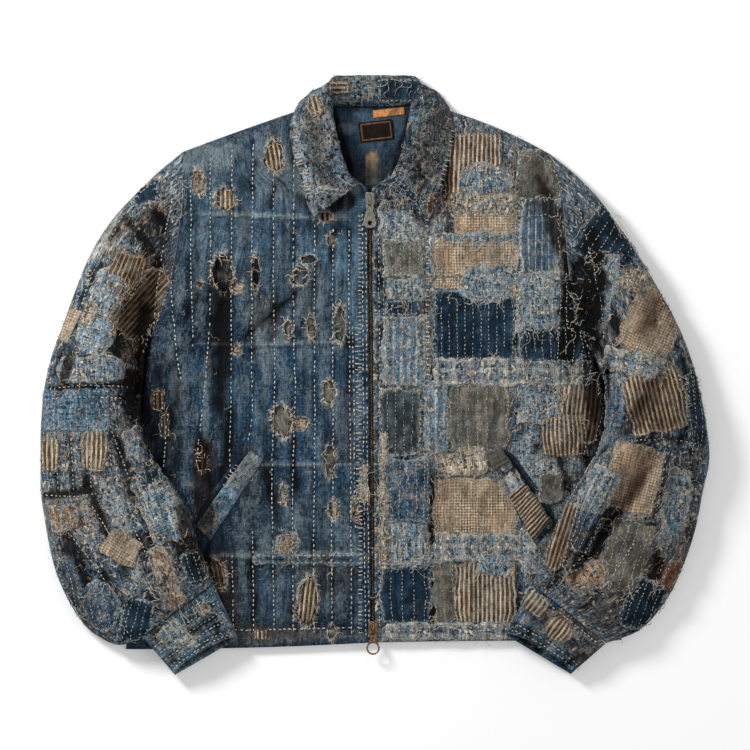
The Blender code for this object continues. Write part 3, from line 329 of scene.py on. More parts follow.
# %% Tables and surface of the sleeves
SLEEVE_COLUMNS = ("outer_x", "outer_y", "inner_x", "inner_y", "height")
SLEEVES = {
    RIGHT: table(SLEEVE_COLUMNS, listed("""
    -230 268 -265 32 34; -260 243 -271 28 42; -290 214 -275 20 48; -320 180 -277 8 52; -342 143 -278 -6 55;
    -359 102 -279 -22 57; -374 60 -280 -40 58; -389 18 -279 -60 57; -398 -28 -275 -83 56; -401 -78 -264 -104 55;
    -401 -131 -248 -126 52; -395 -179 -232 -150 50; -385 -228 -218 -179 46; -364 -277 -209 -208 42;
    -337 -310 -201 -231 36; -306 -324 -196 -243 31; -279 -314 -194 -250 27
    """)),
    LEFT: table(SLEEVE_COLUMNS, listed("""
    208 266 262 12 34; 238 242 271 0 42; 266 214 275 -9 48; 294 176 277 -20 52; 318 140 277 -32 55;
    338 106 277 -48 57; 358 70 275 -64 58; 374 34 271 -79 57; 387 -8 265 -95 56; 396 -52 256 -110 55;
    401 -97 245 -128 53; 393 -140 233 -150 50; 385 -181 221 -176 47; 371 -225 210 -202 43; 348 -272 200 -222 38;
    314 -308 193 -238 32; 277 -322 188 -250 27
    """)),
}
# Sleeve folds run from one (ring, share across) to another, with depth in mm and width in shares.
SLEEVE_FOLDS = {
    RIGHT: listed("""
    .6 6.2 6.5 8.6 -22 1.3; 5 1 8 2 -10 .6; 8.4 2 9.6 8.5 -4 1; 10.9 .8 11.4 6 -5 .9; 11.6 3 15.2 4.2 -8 .6;
    11 6.2 14.8 7 4 .9; 2.5 2 5 4.5 4 1.2
    """),
    LEFT: listed("""
    .6 5.8 6 9 -22 1.3; 4.4 2.2 6.2 3 -9 .7; 6.9 1.4 8.1 7.2 -9 .8; 8.8 1.2 8.7 8 5 .9; 9 4.2 13.6 6.8 -15 .7;
    10.4 2 13.8 3.6 -7 .6; 9.6 7 12.6 8.6 5 .8
    """),
}
LAST_RING, TUBE_EDGE, TUBE_ROUND = 16.0, 8.0, 3.0


def sleeve(side, column, ring):
    return smooth(ring, np.arange(17.0), SLEEVES[side][column])


def sleeve_point(side, ring, share, top):
    """A point of a sleeve's outer face. share runs from its outer edge to its inner one."""
    ring, share = np.broadcast_arrays(np.asarray(ring, float), np.asarray(share, float))
    across = share + unit(ring / 2.5) * (0.5 - 0.5 * np.cos(np.pi * share) - share)
    x0, y0 = sleeve(side, "outer_x", ring), sleeve(side, "outer_y", ring)
    x1, y1 = sleeve(side, "inner_x", ring), sleeve(side, "inner_y", ring)
    x, y = x0 + across * (x1 - x0), y0 + across * (y1 - y0)
    level = SHOULDER - share * (SHOULDER - ARMPIT)
    hole_x, hole_y = outer_edge(side, level)
    first = [sleeve(side, name, 0.0) for name in SLEEVE_COLUMNS[:4]]
    to_hole = unit(1 - ring / 3.0) ** 2
    x = x + to_hole * (hole_x - first[0] - share * (first[2] - first[0])) + side * 0.4
    y = y + to_hole * (hole_y - first[1] - share * (first[3] - first[1]))
    swell = np.sin(np.pi * unit(share))
    on_top = unit((ring - 4.5) / 1.5)
    rests = rest_height(x, y) * on_top
    rest_outer, rest_inner = rest_height(x0, y0) * on_top, rest_height(x1, y1) * on_top
    bed = np.maximum(rests, rest_outer + across * (rest_inner - rest_outer))
    at_seam = unit(1 - ring / 1.5) ** 1.5
    if not top:
        turn = TUBE_ROUND * (1 - np.sqrt(unit(swell))) * (1 - at_seam)
        return np.stack([x, y, rests + turn], axis=-1)
    crown = bed + TUBE_EDGE + (sleeve(side, "height", ring) - TUBE_EDGE) * unit(swell) ** 0.75
    crown = crown + fold_height(ring, share * 10, SLEEVE_FOLDS[side]) * unit(swell * 1.6)
    crown = np.maximum(crown, rests + TUBE_EDGE + 9.0 * swell)
    return np.stack([x, y, crown * (1 - at_seam) + body_height(1.0, level) * at_seam], axis=-1)


print("sleeve rings:", {SIDE_NAMES[side]: len(rows["height"]) for side, rows in SLEEVES.items()})


# %% Surface of the cuffs
CUFF_RISE, CUFF_FALL, MOUTH_SWELL = 17.0, 4.0, 9.0
CUFF_MOUTHS = {RIGHT: (-240.0, -360.0, -164.0, -316.0), LEFT: (235.0, -359.0, 157.0, -312.0)}


def cuff_point(side, along, share, top):
    """A point of a cuff. along runs from its seam, 0, to its open mouth, 1."""
    along, share = np.broadcast_arrays(np.asarray(along, float), np.asarray(share, float))
    seam = [sleeve(side, name, LAST_RING) for name in SLEEVE_COLUMNS[:4]]
    mouth = CUFF_MOUTHS[side]
    x0, y0, x1, y1 = (a + along * (b - a) for a, b in zip(seam, mouth))
    across = 0.5 - 0.5 * np.cos(np.pi * share)
    x, y = x0 + across * (x1 - x0), y0 + across * (y1 - y0)
    down = np.array([mouth[0] - seam[0] + mouth[2] - seam[2], mouth[1] - seam[1] + mouth[3] - seam[3]])
    down /= np.hypot(*down)
    swell = unit(np.sin(np.pi * share))
    shift = 0.4 * (1 - along) - (MOUTH_SWELL * swell * along**2 if top else 0.0)
    x, y = x + down[0] * shift, y + down[1] * shift
    corners = [rest_height(*p) for p in (seam[:2], seam[2:], mouth[:2], mouth[2:])]
    corners[2] = np.maximum(corners[2], 0.65 * corners[0])
    at_seam = corners[0] + across * (corners[1] - corners[0])
    at_mouth = corners[2] + across * (corners[3] - corners[2])
    bed = np.maximum(at_seam + along * (at_mouth - at_seam), rest_height(x, y))
    if not top:
        return np.stack([x, y, bed + TUBE_ROUND * (1 - np.sqrt(swell))], axis=-1)
    return np.stack([x, y, bed + TUBE_EDGE + (CUFF_RISE - CUFF_FALL * along) * swell**0.75], axis=-1)


print("cuff mouths:", [round(math.dist(mouth[:2], mouth[2:])) for mouth in CUFF_MOUTHS.values()], "mm wide")


# %% Surface of the collar
COLLAR = table(
    (
        "seam_x", "seam_y", "seam_z", "fold_x", "fold_y", "fold_z", "radius", "lean",
        "crown_x", "crown_y", "crown_z", "edge_x", "edge_y", "edge_z",
    ),
    listed("""
    0 321.2 4.4 0 358.5 3.6 2 0 0 335 1.5 0 308 1.5; 26 322.4 4.6 28 359 3.6 2 0 29 336 1.5 28 308 1.5;
    44 325 6.5 48 358 6.5 2.3 20 55 343 1.9 56 310 1.5; 54 325 13.5 54 347 20 3 65 71 342 4.6 82 331 1.3;
    59 314.5 17 51 333 31.5 3.5 100 78.5 327 21 92.5 317 11.5;
    59 299 20.5 47 312 38 4 130 76 309 34.5 98 297 22.5; 56 280 23 42 290 39.5 4.5 160 70 286 38.5 96 279 27;
    45 255 25 36 266 39 4.5 175 64 262 38.5 91 257 29; 31 243 25.5 29 247 38 4 180 57 240 38 84 232 29.5;
    19 235 25.5 22 236 36.5 3.6 180 49 223 37 77 207 30.5; 9 228.5 26 16.5 229 34 3.2 180 42 209.5 36.5 70 188 31
    """),
)


NECK_CENTRE_Y = 262.0


def collar_section(place):
    """One line of the collar, from the neck seam over the roll to the edge of the fall."""
    at = {name: smooth(place, np.arange(11.0), values) for name, values in COLLAR.items()}
    seam, fold, crown, edge = (
        np.array([at[name + axis] for axis in ("_x", "_y", "_z")])
        for name in ("seam", "fold", "crown", "edge")
    )
    out = np.array([edge[0], edge[1] - NECK_CENTRE_Y, 0.0])
    out /= np.linalg.norm(out)
    up = np.array([0.0, 0.0, 1.0])
    lean = math.radians(at["lean"])
    to_fold = math.cos(lean) * out + math.sin(lean) * up
    to_stand = -math.sin(lean) * out + math.cos(lean) * up
    centre = fold - at["radius"] * to_fold
    roll = [
        centre + at["radius"] * (math.cos(a) * to_fold + math.sin(a) * to_stand)
        for a in np.radians((90, 45, 0, -45, -90))
    ]
    stand = [seam, seam + 0.5 * (roll[0] - seam)]
    return np.array(stand + roll + [crown, 0.5 * (crown + edge) + 0.6 * up * math.sin(lean / 2), edge])


print("collar sections:", len(COLLAR["seam_x"]))


# %% Surface of the back
def back_plan(side, share, level):
    rise = unit((level - NECK_BOTTOM) / (SHOULDER - NECK_BOTTOM))
    side_x, side_y = outer_edge(side, level)
    low_x, low_y = body_plan(side, 0.3, np.minimum(level, NECK_BOTTOM))
    neck_x, neck_y = front_edge(side, SHOULDER)
    knee_x, knee_y = low_x + rise * (neck_x - low_x), low_y + rise * (neck_y - low_y)
    inner, outer = unit(share / 0.3), unit((share - 0.3) / 0.7)
    x = zip_x(level) + inner * (knee_x - zip_x(level)) + outer * (side_x - knee_x)
    y = level + inner * (knee_y - level) + outer * (side_y - knee_y)
    return x, y + rise * shoulder_bow(side, outer, level) - 5.0 * rise * (1 - inner**2)


def back_point(side, share, level):
    """The back's upper face: flat, and lifted at the neck by the collar that lies under it."""
    x, y = back_plan(side, share, level)
    near_neck = unit((y - 240.0) / 45.0)
    inside = unit((112.0 - np.abs(x)) / 14.0)
    return np.stack([x, y, 2.0 + 3.4 * near_neck * inside], axis=-1)


print("surfaces are ready")

# %% [markdown]
# ## Walls from grids
# A panel is a grid of points. A second grid lies under it by the cloth's thickness, and strips of
# faces close every rim, also around a hole. That makes a thin closed shell, which is what a layer of
# cloth is. Each panel carries its own measures: a UV map in metres along its grain, its painted
# tone, how much shade its folds hold, how worn it is, and how fuzzy.

# %% Helpers for meshes
def closed_shell(name, outer, inner, uv, values, keep=None, ring=False):
    """A shell between two grids of points in mm. keep says which cells stay, and ring closes columns."""
    rows, columns = outer.shape[:2]
    index = np.arange(rows * columns).reshape(rows, columns)
    after = np.roll(index, -1, axis=1) if ring else index[:, 1:]
    before = index if ring else index[:, :-1]
    cells = np.stack([before[:-1], after[:-1], after[1:], before[1:]], axis=-1)
    cells = cells.reshape(-1, 4) if keep is None else cells[keep]
    edges = np.concatenate([cells[:, [k, (k + 1) % 4]] for k in range(4)])
    count = rows * columns
    codes, back_codes = edges[:, 0] * count + edges[:, 1], edges[:, 1] * count + edges[:, 0]
    rim = edges[~np.isin(codes, back_codes)]
    sides = np.stack([rim[:, 1], rim[:, 0], rim[:, 0] + count, rim[:, 1] + count], axis=-1)
    faces = np.concatenate([cells, cells[:, ::-1] + count, sides])
    points = np.concatenate([outer.reshape(-1, 3), inner.reshape(-1, 3)]) * MM
    used, faces = np.unique(faces, return_inverse=True)
    faces, points = faces.reshape(-1, 4), points[used]
    a, b, c, d = (points[faces[:, k]] for k in range(4))
    volume = (np.einsum("ij,ij->i", a, np.cross(b, c)) + np.einsum("ij,ij->i", a, np.cross(c, d))).sum()
    faces = faces[:, ::-1] if volume < 0 else faces
    mesh = bpy.data.meshes.new(name)
    mesh.from_pydata(points.tolist(), [], faces.tolist())
    mesh.shade_smooth()
    both = lambda grid: np.concatenate([grid.reshape(count, -1)] * 2)[used]
    corner = np.empty(len(mesh.loops), np.int64)
    mesh.loops.foreach_get("vertex_index", corner)
    layer = mesh.uv_layers.new(name="cloth")
    layer.data.foreach_set("uv", both(uv * MM)[corner].astype(np.float32).ravel())
    for label, grid in values.items():
        flat = both(np.asarray(grid, float))
        if label == "fuzz":
            flat = flat * (used < count)[:, None]
        kind = "FLOAT_COLOR" if flat.shape[1] == 3 else "FLOAT"
        made = mesh.attributes.new(label, kind, "POINT")
        if kind == "FLOAT_COLOR":
            flat = np.concatenate([flat, np.ones((len(flat), 1))], axis=1)
            made.data.foreach_set("color", flat.astype(np.float32).ravel())
        else:
            made.data.foreach_set("value", flat.astype(np.float32).ravel())
    obj = bpy.data.objects.new(name, mesh)
    bpy.context.collection.objects.link(obj)
    return obj


def grid_normals(points):
    normal = np.cross(np.gradient(points, axis=1), np.gradient(points, axis=0))
    normal /= np.maximum(np.linalg.norm(normal, axis=-1, keepdims=True), 1e-9)
    return normal * np.where(normal[..., 2:3] < 0, -1.0, 1.0)


def lengths(points):
    """How far along its rows and down its columns each point of a grid lies, in mm."""
    across = np.linalg.norm(np.diff(points, axis=1), axis=-1).mean(axis=0)
    down = np.linalg.norm(np.diff(points, axis=0), axis=-1).mean(axis=1)
    u, v = np.concatenate([[0], across.cumsum()]), np.concatenate([[0], down.cumsum()])
    return np.stack(np.broadcast_arrays(u[None, :], v[:, None]), axis=-1)


# %% Blots of colour or shade
def swung(x, y, degrees):
    """Places of the plan as measured along directions that are turned by so many degrees."""
    c, s = math.cos(math.radians(degrees)), math.sin(math.radians(degrees))
    return x * c + y * s, y * c - x * s


def blot(x, y, row, seed):
    """How much of a soft-edged blot (x, y, half width, half length, turn) covers each point."""
    cx, cy, rx, ry, turn = row
    u, v = swung(x - cx, y - cy, turn)
    u, v = u / rx, v / ry
    far = np.sqrt(u * u + v * v) + 0.2 * hills(x, y, 11, seed) + 0.12 * hills(x, y, 4.5, seed + 7)
    return unit((1.2 - far) / 0.4)


def painted(x, y, base, rows):
    """The tone of each point: a base colour with blots of others laid on it in turn."""
    tone = np.broadcast_to(colour(base), (*x.shape, 3)).copy()
    for seed, (name, strength, *row) in enumerate(rows):
        tone += (strength * blot(x, y, row, seed))[..., None] * (colour(name) - tone)
    return tone


def shaded(x, y, rows):
    """How much painted shade each point gets, from 0 to 1: the largest of its blots, laid in folds, in gaps and under
    the collar.
    """
    shade = np.zeros(x.shape)
    for seed, (strength, *row) in enumerate(rows):
        shade = np.maximum(shade, strength * blot(x, y, row, seed + 40))
    return shade


# %% [markdown]
# ## Creases
# The solids have the large folds. These are the smaller ones, listed one by one: each is a trough or a
# ridge from one point to another. Between the stitched rows the quilted cloth puckers in narrow
# ridges along the rows, so long thin random hills are added, and each row of stitches sinks in.

# %% Creases of each panel
CREASES = {
    "front_right": listed("""
    -90 102 -168 36 -1.7 2.6; -168 36 -196 22 -1.2 3.5; -176 150 -184 20 -3 5; -198 60 -204 -90 2.6 5;
    -170 -40 -186 -150 -2.2 6; -150 200 -166 130 1.6 6; -110 250 -132 190 -1.6 5; -76 205 -88 150 -1.4 5;
    -62 -30 -50 -120 -1.6 6; -100 -70 -92 -150 -1.5 5; -130 -110 -112 -200 -1.8 6; -30 60 -36 -40 -1.2 5;
    -214 -200 -190 -296 -2.6 7; -238 -205 -222 -300 2.2 8; -150 -210 -140 -300 -1.8 6; -60 -200 -66 -300 -1.6 6;
    -222 150 -226 60 -1.8 4; -200 196 -232 172 -1.2 4; -256 -40 -262 -140 -2.2 6; -140 60 -126 -20 1.4 6;
    -40 190 -60 110 -1.4 5
    """),
    "front_left": listed("""
    60 210 64 110 -1.8 4; 64 100 66 -20 -1.6 4; 170 250 172 130 -1.6 3.5; 170 124 168 10 -1.8 4;
    186 250 206 160 -3 6; 196 268 222 206 -2.6 5; 210 170 232 60 -2.6 6; 120 20 124 -60 -1.4 5;
    150 -20 142 -90 -2.2 5; 110 -130 128 -190 -2.4 4; 128 -135 122 -185 1.8 4; 96 -150 88 -190 -1.6 4;
    70 -120 66 -220 -2 4.5; 64 -230 74 -300 -2 5; 100 -230 96 -300 -1.5 4; 172 -210 176 -300 -2 6;
    210 -60 236 -150 -2.6 6; 236 -30 262 -120 -2.4 6; 30 -20 34 -90 -1.4 5; 20 60 26 -20 -1.4 4;
    90 250 84 200 -2.4 4; 42 190 52 130 -1.5 4; 150 90 156 30 -1.6 5; 190 -230 204 -300 2 7
    """),
    "sleeve_right": listed("""
    -256 150 -276 20 -3.5 7; -290 90 -316 20 -4 8; -300 10 -284 -60 -4.5 8; -372 20 -362 -30 -4.5 7;
    -340 100 -352 30 2.5 7; -330 10 -390 -8 2.4 5; -398 -24 -300 -10 -2.4 4; -398 -70 -300 -66 2 6;
    -402 -146 -330 -136 -2.4 4; -330 -30 -294 -124 -2.6 5; -294 -124 -248 -240 -3 5; -378 -176 -330 -280 -3 6;
    -350 -120 -304 -230 -2.4 6; -316 -160 -276 -262 2.6 7; -262 -150 -226 -232 -3 6; -340 -290 -280 -276 -2.4 5;
    -366 60 -300 70 -2 5; -300 190 -268 150 -3 6; -330 130 -296 104 -2.4 5; -390 -210 -360 -214 -2 5;
    -282 -210 -240 -196 -2 5
    """),
    "sleeve_left": listed("""
    240 150 262 20 -3.5 7; 262 110 300 40 -3.4 7; 284 30 276 -40 -4 7; 344 106 330 52 -4.5 6; 300 40 360 26 2.2 5;
    276 30 350 6 -2.6 4; 392 6 366 -80 -2.6 5; 300 -70 372 -60 -2.4 5; 322 -78 286 -176 -5 7;
    286 -176 246 -236 -4.5 7; 340 -90 312 -190 2.6 7; 366 -110 336 -240 -3 6; 300 -200 262 -262 -3 5;
    350 -200 322 -290 -2.4 5; 282 190 312 120 -2.6 6; 250 -130 226 -210 -2.8 5; 330 -20 306 -60 -2.2 5;
    318 -240 282 -300 2.2 6
    """),
    "cuff_right": listed("-262 -290 -196 -250 -1.4 4; -250 -330 -190 -290 -1.2 4"),
    "cuff_left": listed("252 -292 190 -252 -1.4 4; 246 -330 182 -284 -1.2 4"),
}
print("creases:", {name: len(rows) for name, rows in CREASES.items()})

# %% [markdown]
# ## Rows of stitches
# Each row is a line of points in plan, in mm. The first table holds the long rows that quilt the
# right front from shoulder to hem and those along the armholes, seams, hem and cuffs.

# %% Long rows
def paths(text):
    """Lines of the plan: each row gives x and y of one point after another."""
    return [tuple(zip(row[::2], row[1::2])) for row in listed(text)]


ROWS = {
    "front_right": paths("""
    -198 262 -197 150 -198 60 -203 0 -214 -102; -172 272 -172 60 -174 -100 -173 -120;
    -146 280 -148 100 -147 -50 -152 -80; -122 284 -122 120 -120 -10 -124 -140 -121 -312;
    -97 272 -98 100 -96 -20 -99 -160 -98 -312; -72 182 -73 60 -72 -60 -74 -200 -73 -312;
    -50 176 -51 60 -50 -60 -52 -200 -51 -312; -31 176 -31 40 -29 -120 -28 -312; -27 60 -25 -60 -24 -190;
    -15 196 -14 0 -13 -150 -11 -314; -10.5 196 -10 0 -8.5 -150 -7 -314; -221 230 -221 120 -218 30;
    -246 132 -243 80 -238 20 -232 -10; -147 -186 -146 -312; -172 -215 -170 -312; -198 -230 -194 -312;
    -222 -250 -216 -314; -250 -60 -256 -160 -252 -240; -262 -306 -150 -306 -16 -303
    """),
    "front_left": paths("""
    4 204 5 60 6 -100 5 -314; 10 158 11 60 12 -20; 150 292 170 278 184 270; 206 268 218 250 222 236;
    8 -303 120 -303 190 -306; 170 206 169 120 168 20; 60 120 62 20 60 -10; 174 210 172 130; 186 120 226 116;
    190 100 232 98; 188 84 236 80; 186 66 240 64; 16 -176 18 -222; 34 -178 36 -224; 52 -180 54 -224;
    180 -200 182 -290; 196 -206 200 -290; 212 -212 216 -286
    """),
    "sleeve_right": paths("""
    -240 226 -252 170 -262 90 -268 30; -300 196 -340 120 -364 50; -398 -18 -350 -12 -300 -14;
    -400 -30 -350 -26 -300 -28; -402 -144 -360 -146 -320 -140; -330 -30 -294 -126 -252 -234 -234 -270;
    -380 -174 -342 -222 -306 -270 -296 -312; -386 -40 -380 -140; -366 -36 -362 -140; -346 -34 -340 -138;
    -326 -40 -316 -110; -300 -160 -262 -240; -284 -150 -244 -226; -360 -160 -326 -216; -340 -156 -306 -210
    """),
    "sleeve_left": paths("""
    244 208 258 150 272 90 276 40; 292 184 322 130 346 84; 272 28 320 14 364 4; 274 18 322 2 372 -8;
    384 10 392 -50 390 -100; 378 6 384 -50 380 -110; 300 -80 350 -76 392 -84; 350 -100 336 -170 314 -230;
    372 -110 360 -180 338 -250; 270 -176 250 -216 228 -240; 330 -240 290 -290; 312 -200 276 -254;
    250 -60 240 -130 222 -180; 262 -60 252 -130 236 -186
    """),
}
ACROSS_CUFF = np.linspace(0.06, 0.94, 9)
for side, places in ((RIGHT, (0.12, 0.3, 0.48, 0.66, 0.84, 0.93)), (LEFT, (0.1, 0.78, 0.92))):
    ROWS["cuff_" + SIDE_NAMES[side]] = [cuff_point(side, place, ACROSS_CUFF, True)[:, :2] for place in places]
# Bars sewn across an edge: the panel, their spacing and length, and the line as x and y of its points
BARS = listed("""
    front_right 5.2 5.5 -17.5 -312 -17.5 196; front_right 7 4.5 -22 60 -21 -60 -21 -190;
    collar 5 8 -97 294 -92 262 -84 232 -74 208; collar 6 6 94 296 88 258 80 226;
    cuff_right 5 26 -244 -306 -206 -278; front_right 4.6 13 -162 -108 -206 -182;
    sleeve_right 5.6 8 -352 120 -362 70 -366 40; sleeve_right 5.6 7 -342 128 -350 80;
    front_left 6.4 6.5 168 196 170 60; front_left 6.4 6.5 62 196 63 100 64 -10; front_left 7 7 20 -205 190 -208
""")
print("long rows:", sum(map(len, ROWS.values())), "bars:", len(BARS))


# %% How rows and creases shape a panel
def sunk(x, y, rows, depth=1.5, width=2.6):
    """How far the cloth sinks along rows of stitches, with small puckers across each row."""
    total, puckers = np.zeros(x.shape), np.zeros(x.shape)
    for seed, row in enumerate(rows):
        near = np.full(x.shape, 1e9)
        for (x0, y0), (x1, y1) in zip(row, row[1:]):
            t = ((x - x0) * (x1 - x0) + (y - y0) * (y1 - y0)) / ((x1 - x0) ** 2 + (y1 - y0) ** 2)
            t = unit(t)
            near = np.minimum(near, np.hypot(x - x0 - t * (x1 - x0), y - y0 - t * (y1 - y0)))
        total = np.minimum(total, -depth * bell(near, width))
        puckers += 0.55 * bell(near, 6.5) * hills(x + y, y - 0.4 * x, 7.0, seed + 60, 0.9)
    return total + puckers


def crumple(name, x, y, u, v):
    """The height that creases, puckers and sunk rows add. u and v run across and along the cloth."""
    small = 1.3 * hills(u, v, 10.0, 3, 4.0) + 0.7 * hills(u, v, 5.5, 5, 2.6) + 0.8 * hills(u, v, 17.0, 9, 0.9)
    if name == "front_right":
        small = 0.85 * small + 0.5 * (1 - np.abs(hills(u, v, 13.0, 11, 1.6))) ** 3
    else:
        small = small + 0.55 * hills(u, v, 6.5, 15, 0.7) - 1.4 * (1 - np.abs(hills(u, v, 30.0, 17, 1.4))) ** 6
    total = small + 1.25 * fold_height(x, y, CREASES.get(name, ()))
    return total + sunk(x, y, ROWS.get(name, ()))

# %% [markdown]
# ## Patches
# Every patch has a cloth of its own, a place on one panel, a turn, a roundness (0 is square, 1 is
# oval), a layer, how far its edge is frayed, and the spacing of the stitched rows that cross it.
# The tables are in the order in which the patches were laid, the lowest first.

# %% Table of the patches
PATCH_COLUMNS = ("cloth", "x0", "y0", "x1", "y1", "turn", "round", "layer", "fray", "rows")
PATCHES = {
    "front_left": listed("""
    frayed 4 160 56 212 0 .3 0 1.2 10; grey 9 118 60 163 0 .15 1 .9 11; frayed 56 96 74 206 0 .1 0 1.2 0;
    ticking 74 204 152 290 -2 .1 0 .8 0; frayed 100 206 166 256 0 .9 1 1.2 0; cream 78 193 170 219 1 .2 2 1.2 0;
    check 96 165 171 197 0 .1 1 .7 0; frayed 78 156 170 172 0 .3 2 1.2 0; check 70 118 174 163 0 .1 2 .8 0;
    check 70 101 103 122 0 .1 1 .6 0; frayed 102 86 172 134 0 .7 3 1.3 0; navy 70 16 168 104 0 .15 2 .9 9.5;
    cream 161 92 175 109 0 .2 4 .5 0; grey 168 188 226 270 -4 .15 1 .5 0; lined 173 120 223 214 0 .1 2 .9 0;
    frayed 168 52 242 124 0 .2 3 1.3 9; navy 172 14 258 58 0 .5 4 .9 9.5; frayed 12 88 62 118 0 .3 1 1.2 0;
    navy 12 70 54 91 0 .1 2 .6 8; pale 8 -14 67 72 0 .05 1 .9 8.5; plaid 70 -13 262 20 0 .05 3 .9 12;
    slate 5 -98 57 -16 0 .15 2 .9 10; pale 58 -94 89 -8 0 .05 1 .7 0; stone 87 -94 164 -9 0 .4 2 .7 12;
    frayed 172 -60 226 -8 0 .1 2 1.2 9; ticking 220 -84 274 -1 -6 .3 2 .7 0; ticking 197 -98 256 -48 3 .45 3 .7 0;
    cream 76 -122 136 -88 6 .4 3 1.3 0; worn 9 -178 67 -99 0 .1 2 1 10; check 70 -194 172 -124 0 .08 1 .7 0;
    grey 196 -154 226 -116 0 .2 1 .7 0; frayed 10 -230 66 -176 0 .2 1 1.3 11;
    plaid 70 -224 202 -190 0 .05 2 .8 13; navy 5 -302 69 -226 0 .3 2 .9 14; stone 68 -298 98 -220 3 .3 1 1.2 0;
    ticking 94 -298 170 -224 0 .12 2 .7 0; frayed 120 -242 168 -216 0 .5 3 1.3 0;
    plaid 14 -319 166 -297 0 .05 3 .5 0; cream 3 -236 16 -64 0 .2 3 1.4 0; frayed 172 -238 214 -180 10 .4 2 1.2 0
    """),
    "front_right": listed("""
    ticking -267 -43 -253 -17 0 .2 0 .8 0; ticking -259 -76 -245 -45 0 .2 0 .8 0;
    worn -146 -228 -14 -214 0 .1 0 .6 0; ticking -146 -319 -128 -305 0 .3 0 .5 0;
    cream -20 -152 -6 -110 0 .3 0 1.2 0; tan -120 -216 -90 -190 0 .4 0 1 0; tan -258 188 -236 232 12 .6 0 1.4 0
    """),
    "sleeve_right": listed("""
    navy -294 203 -258 232 28 .3 0 1.2 0; brown_ticking -322 92 -280 148 -22 .2 0 .9 0;
    brown_ticking -304 40 -250 130 -42 .2 1 .9 0; cream -352 58 -334 88 -20 .2 2 .8 0;
    frayed -348 22 -308 128 -18 .3 0 1.2 0; check -378 40 -360 80 -20 .1 0 .6 0;
    grid -398 -68 -318 -17 0 .1 1 .9 0; ticking -352 -116 -322 -64 -2 .2 1 .9 0;
    ticking -402 -116 -379 -76 0 .2 1 .8 0; tan -392 -188 -354 -154 8 .3 1 1 0;
    check -326 -224 -282 -190 -30 .2 1 1 0; frayed -284 -200 -222 -112 20 .3 0 1.3 0;
    navy -284 -134 -256 -112 10 .4 1 .9 8; navy -306 -320 -266 -268 -14 .2 2 .9 9;
    worn -380 -296 -354 -222 12 .9 0 .8 9; worn -350 -308 -306 -246 14 .9 1 .9 9;
    tan -266 -284 -236 -202 18 .4 2 1.2 0; frayed -302 -106 -262 -60 10 .4 0 1.2 0;
    navy -232 -250 -204 -212 20 .4 1 .8 9; frayed -380 -10 -300 24 0 .5 0 1 0
    """),
    "sleeve_left": listed("""
    navy 248 126 320 198 -32 .2 0 .9 10; cream 292 100 330 130 -20 .3 1 1.3 0;
    check 302 22 368 110 -24 .15 0 .9 0; frayed 246 42 288 150 -14 .4 1 1.2 0; plaid 272 0 350 28 -12 .1 2 1 0;
    ticking 300 -70 374 8 14 .15 1 .8 0; navy 374 -90 399 6 4 .2 2 .8 10; worn 262 -60 300 0 -8 .2 1 1 9;
    check 276 -164 344 -84 -14 .15 1 .9 0; pale 250 -168 286 -110 -26 .3 2 1.2 9;
    stone 274 -262 326 -172 -18 .25 2 1 10; worn 238 -214 268 -160 -24 .2 3 .9 8;
    ticking 212 -236 238 -150 -18 .5 1 .9 0; navy 298 -308 344 -244 -22 .2 1 1 9;
    rust 344 -272 372 -220 -24 .5 0 1 0; tan 230 -262 282 -226 24 .5 3 1.4 0;
    frayed 344 -222 376 -110 -8 .4 0 1.2 0; frayed 314 126 344 160 -34 .4 0 1 0
    """),
    "cuff_left": listed("ticking 174 -286 206 -258 -38 .1 0 .9 0; ticking 204 -320 236 -292 -38 .6 0 .8 0"),
    "collar": listed("""
    ticking -52 333 -36 358 90 .1 0 .6 0; navy 3 326 57 357 0 .3 0 .7 0; navy 8 213 64 229 -37 .3 0 1.2 6;
    brown 60 192 77 216 -10 .4 1 .9 0; ticking -79 312 -63 336 14 .2 0 .8 0; pale -86 216 -30 226 -8 .1 0 .7 0
    """),
    "cuff_right": listed("frayed -258 -330 -226 -296 38 .6 0 1 0; tan -216 -290 -196 -272 38 .5 0 1 0"),
}
FUZZY = {"frayed", "cream", "tan", "pale", "plaid"}
LIFT, LAYER, PATCH_WALL = 0.7, 0.3, 0.5
print("patches in the tables:", sum(map(len, PATCHES.values())))


# %% Places on a patch
def patch(row):
    """A patch's values by name, with its middle and its half width and length."""
    p = dict(zip(PATCH_COLUMNS, row))
    p["x"], p["y"] = (p["x0"] + p["x1"]) / 2, (p["y0"] + p["y1"]) / 2
    p["half_w"], p["half_h"] = (p["x1"] - p["x0"]) / 2, (p["y1"] - p["y0"]) / 2
    return p


def each_patch():
    """Every patch with its panel, its number and a seed of its own."""
    for panel, rows in PATCHES.items():
        for number, row in enumerate(rows):
            yield panel, number, patch(row), 100 + number * 7 + len(panel)


def patches_at(panel, x, y):
    """The patches of a panel, each with how far points of the plan lie from its middle, across and up it."""
    for p in map(patch, PATCHES.get(panel, ())):
        yield p, *swung(x - p["x"], y - p["y"], p["turn"])


def ragged(side, along, rag, seed):
    """How far an edge strays: in slow waves, and in small nicks at its very rim."""
    waves = rag * np.abs(side) ** 3 * np.sign(side) * hills(along, side * 3, 11, seed)
    return waves + 0.5 * rag * hills(along, side, 3.4, seed + 3) * np.abs(side) ** 5


def turned(p, s, t, seed):
    """A point of a patch in plan. s and t run from -1 to 1 across and up it."""
    dx = p["half_w"] * s * np.sqrt(1 - p["round"] * t * t / 2)
    dy = p["half_h"] * t * np.sqrt(1 - p["round"] * s * s / 2)
    rag = 2.1 * (0.6 + p["fray"])
    dx = dx + ragged(s, dy, rag, seed)
    dy = dy + ragged(t, dx, rag, seed + 5)
    dx, dy = swung(dx, dy, -p["turn"])
    return p["x"] + dx, p["y"] + dy


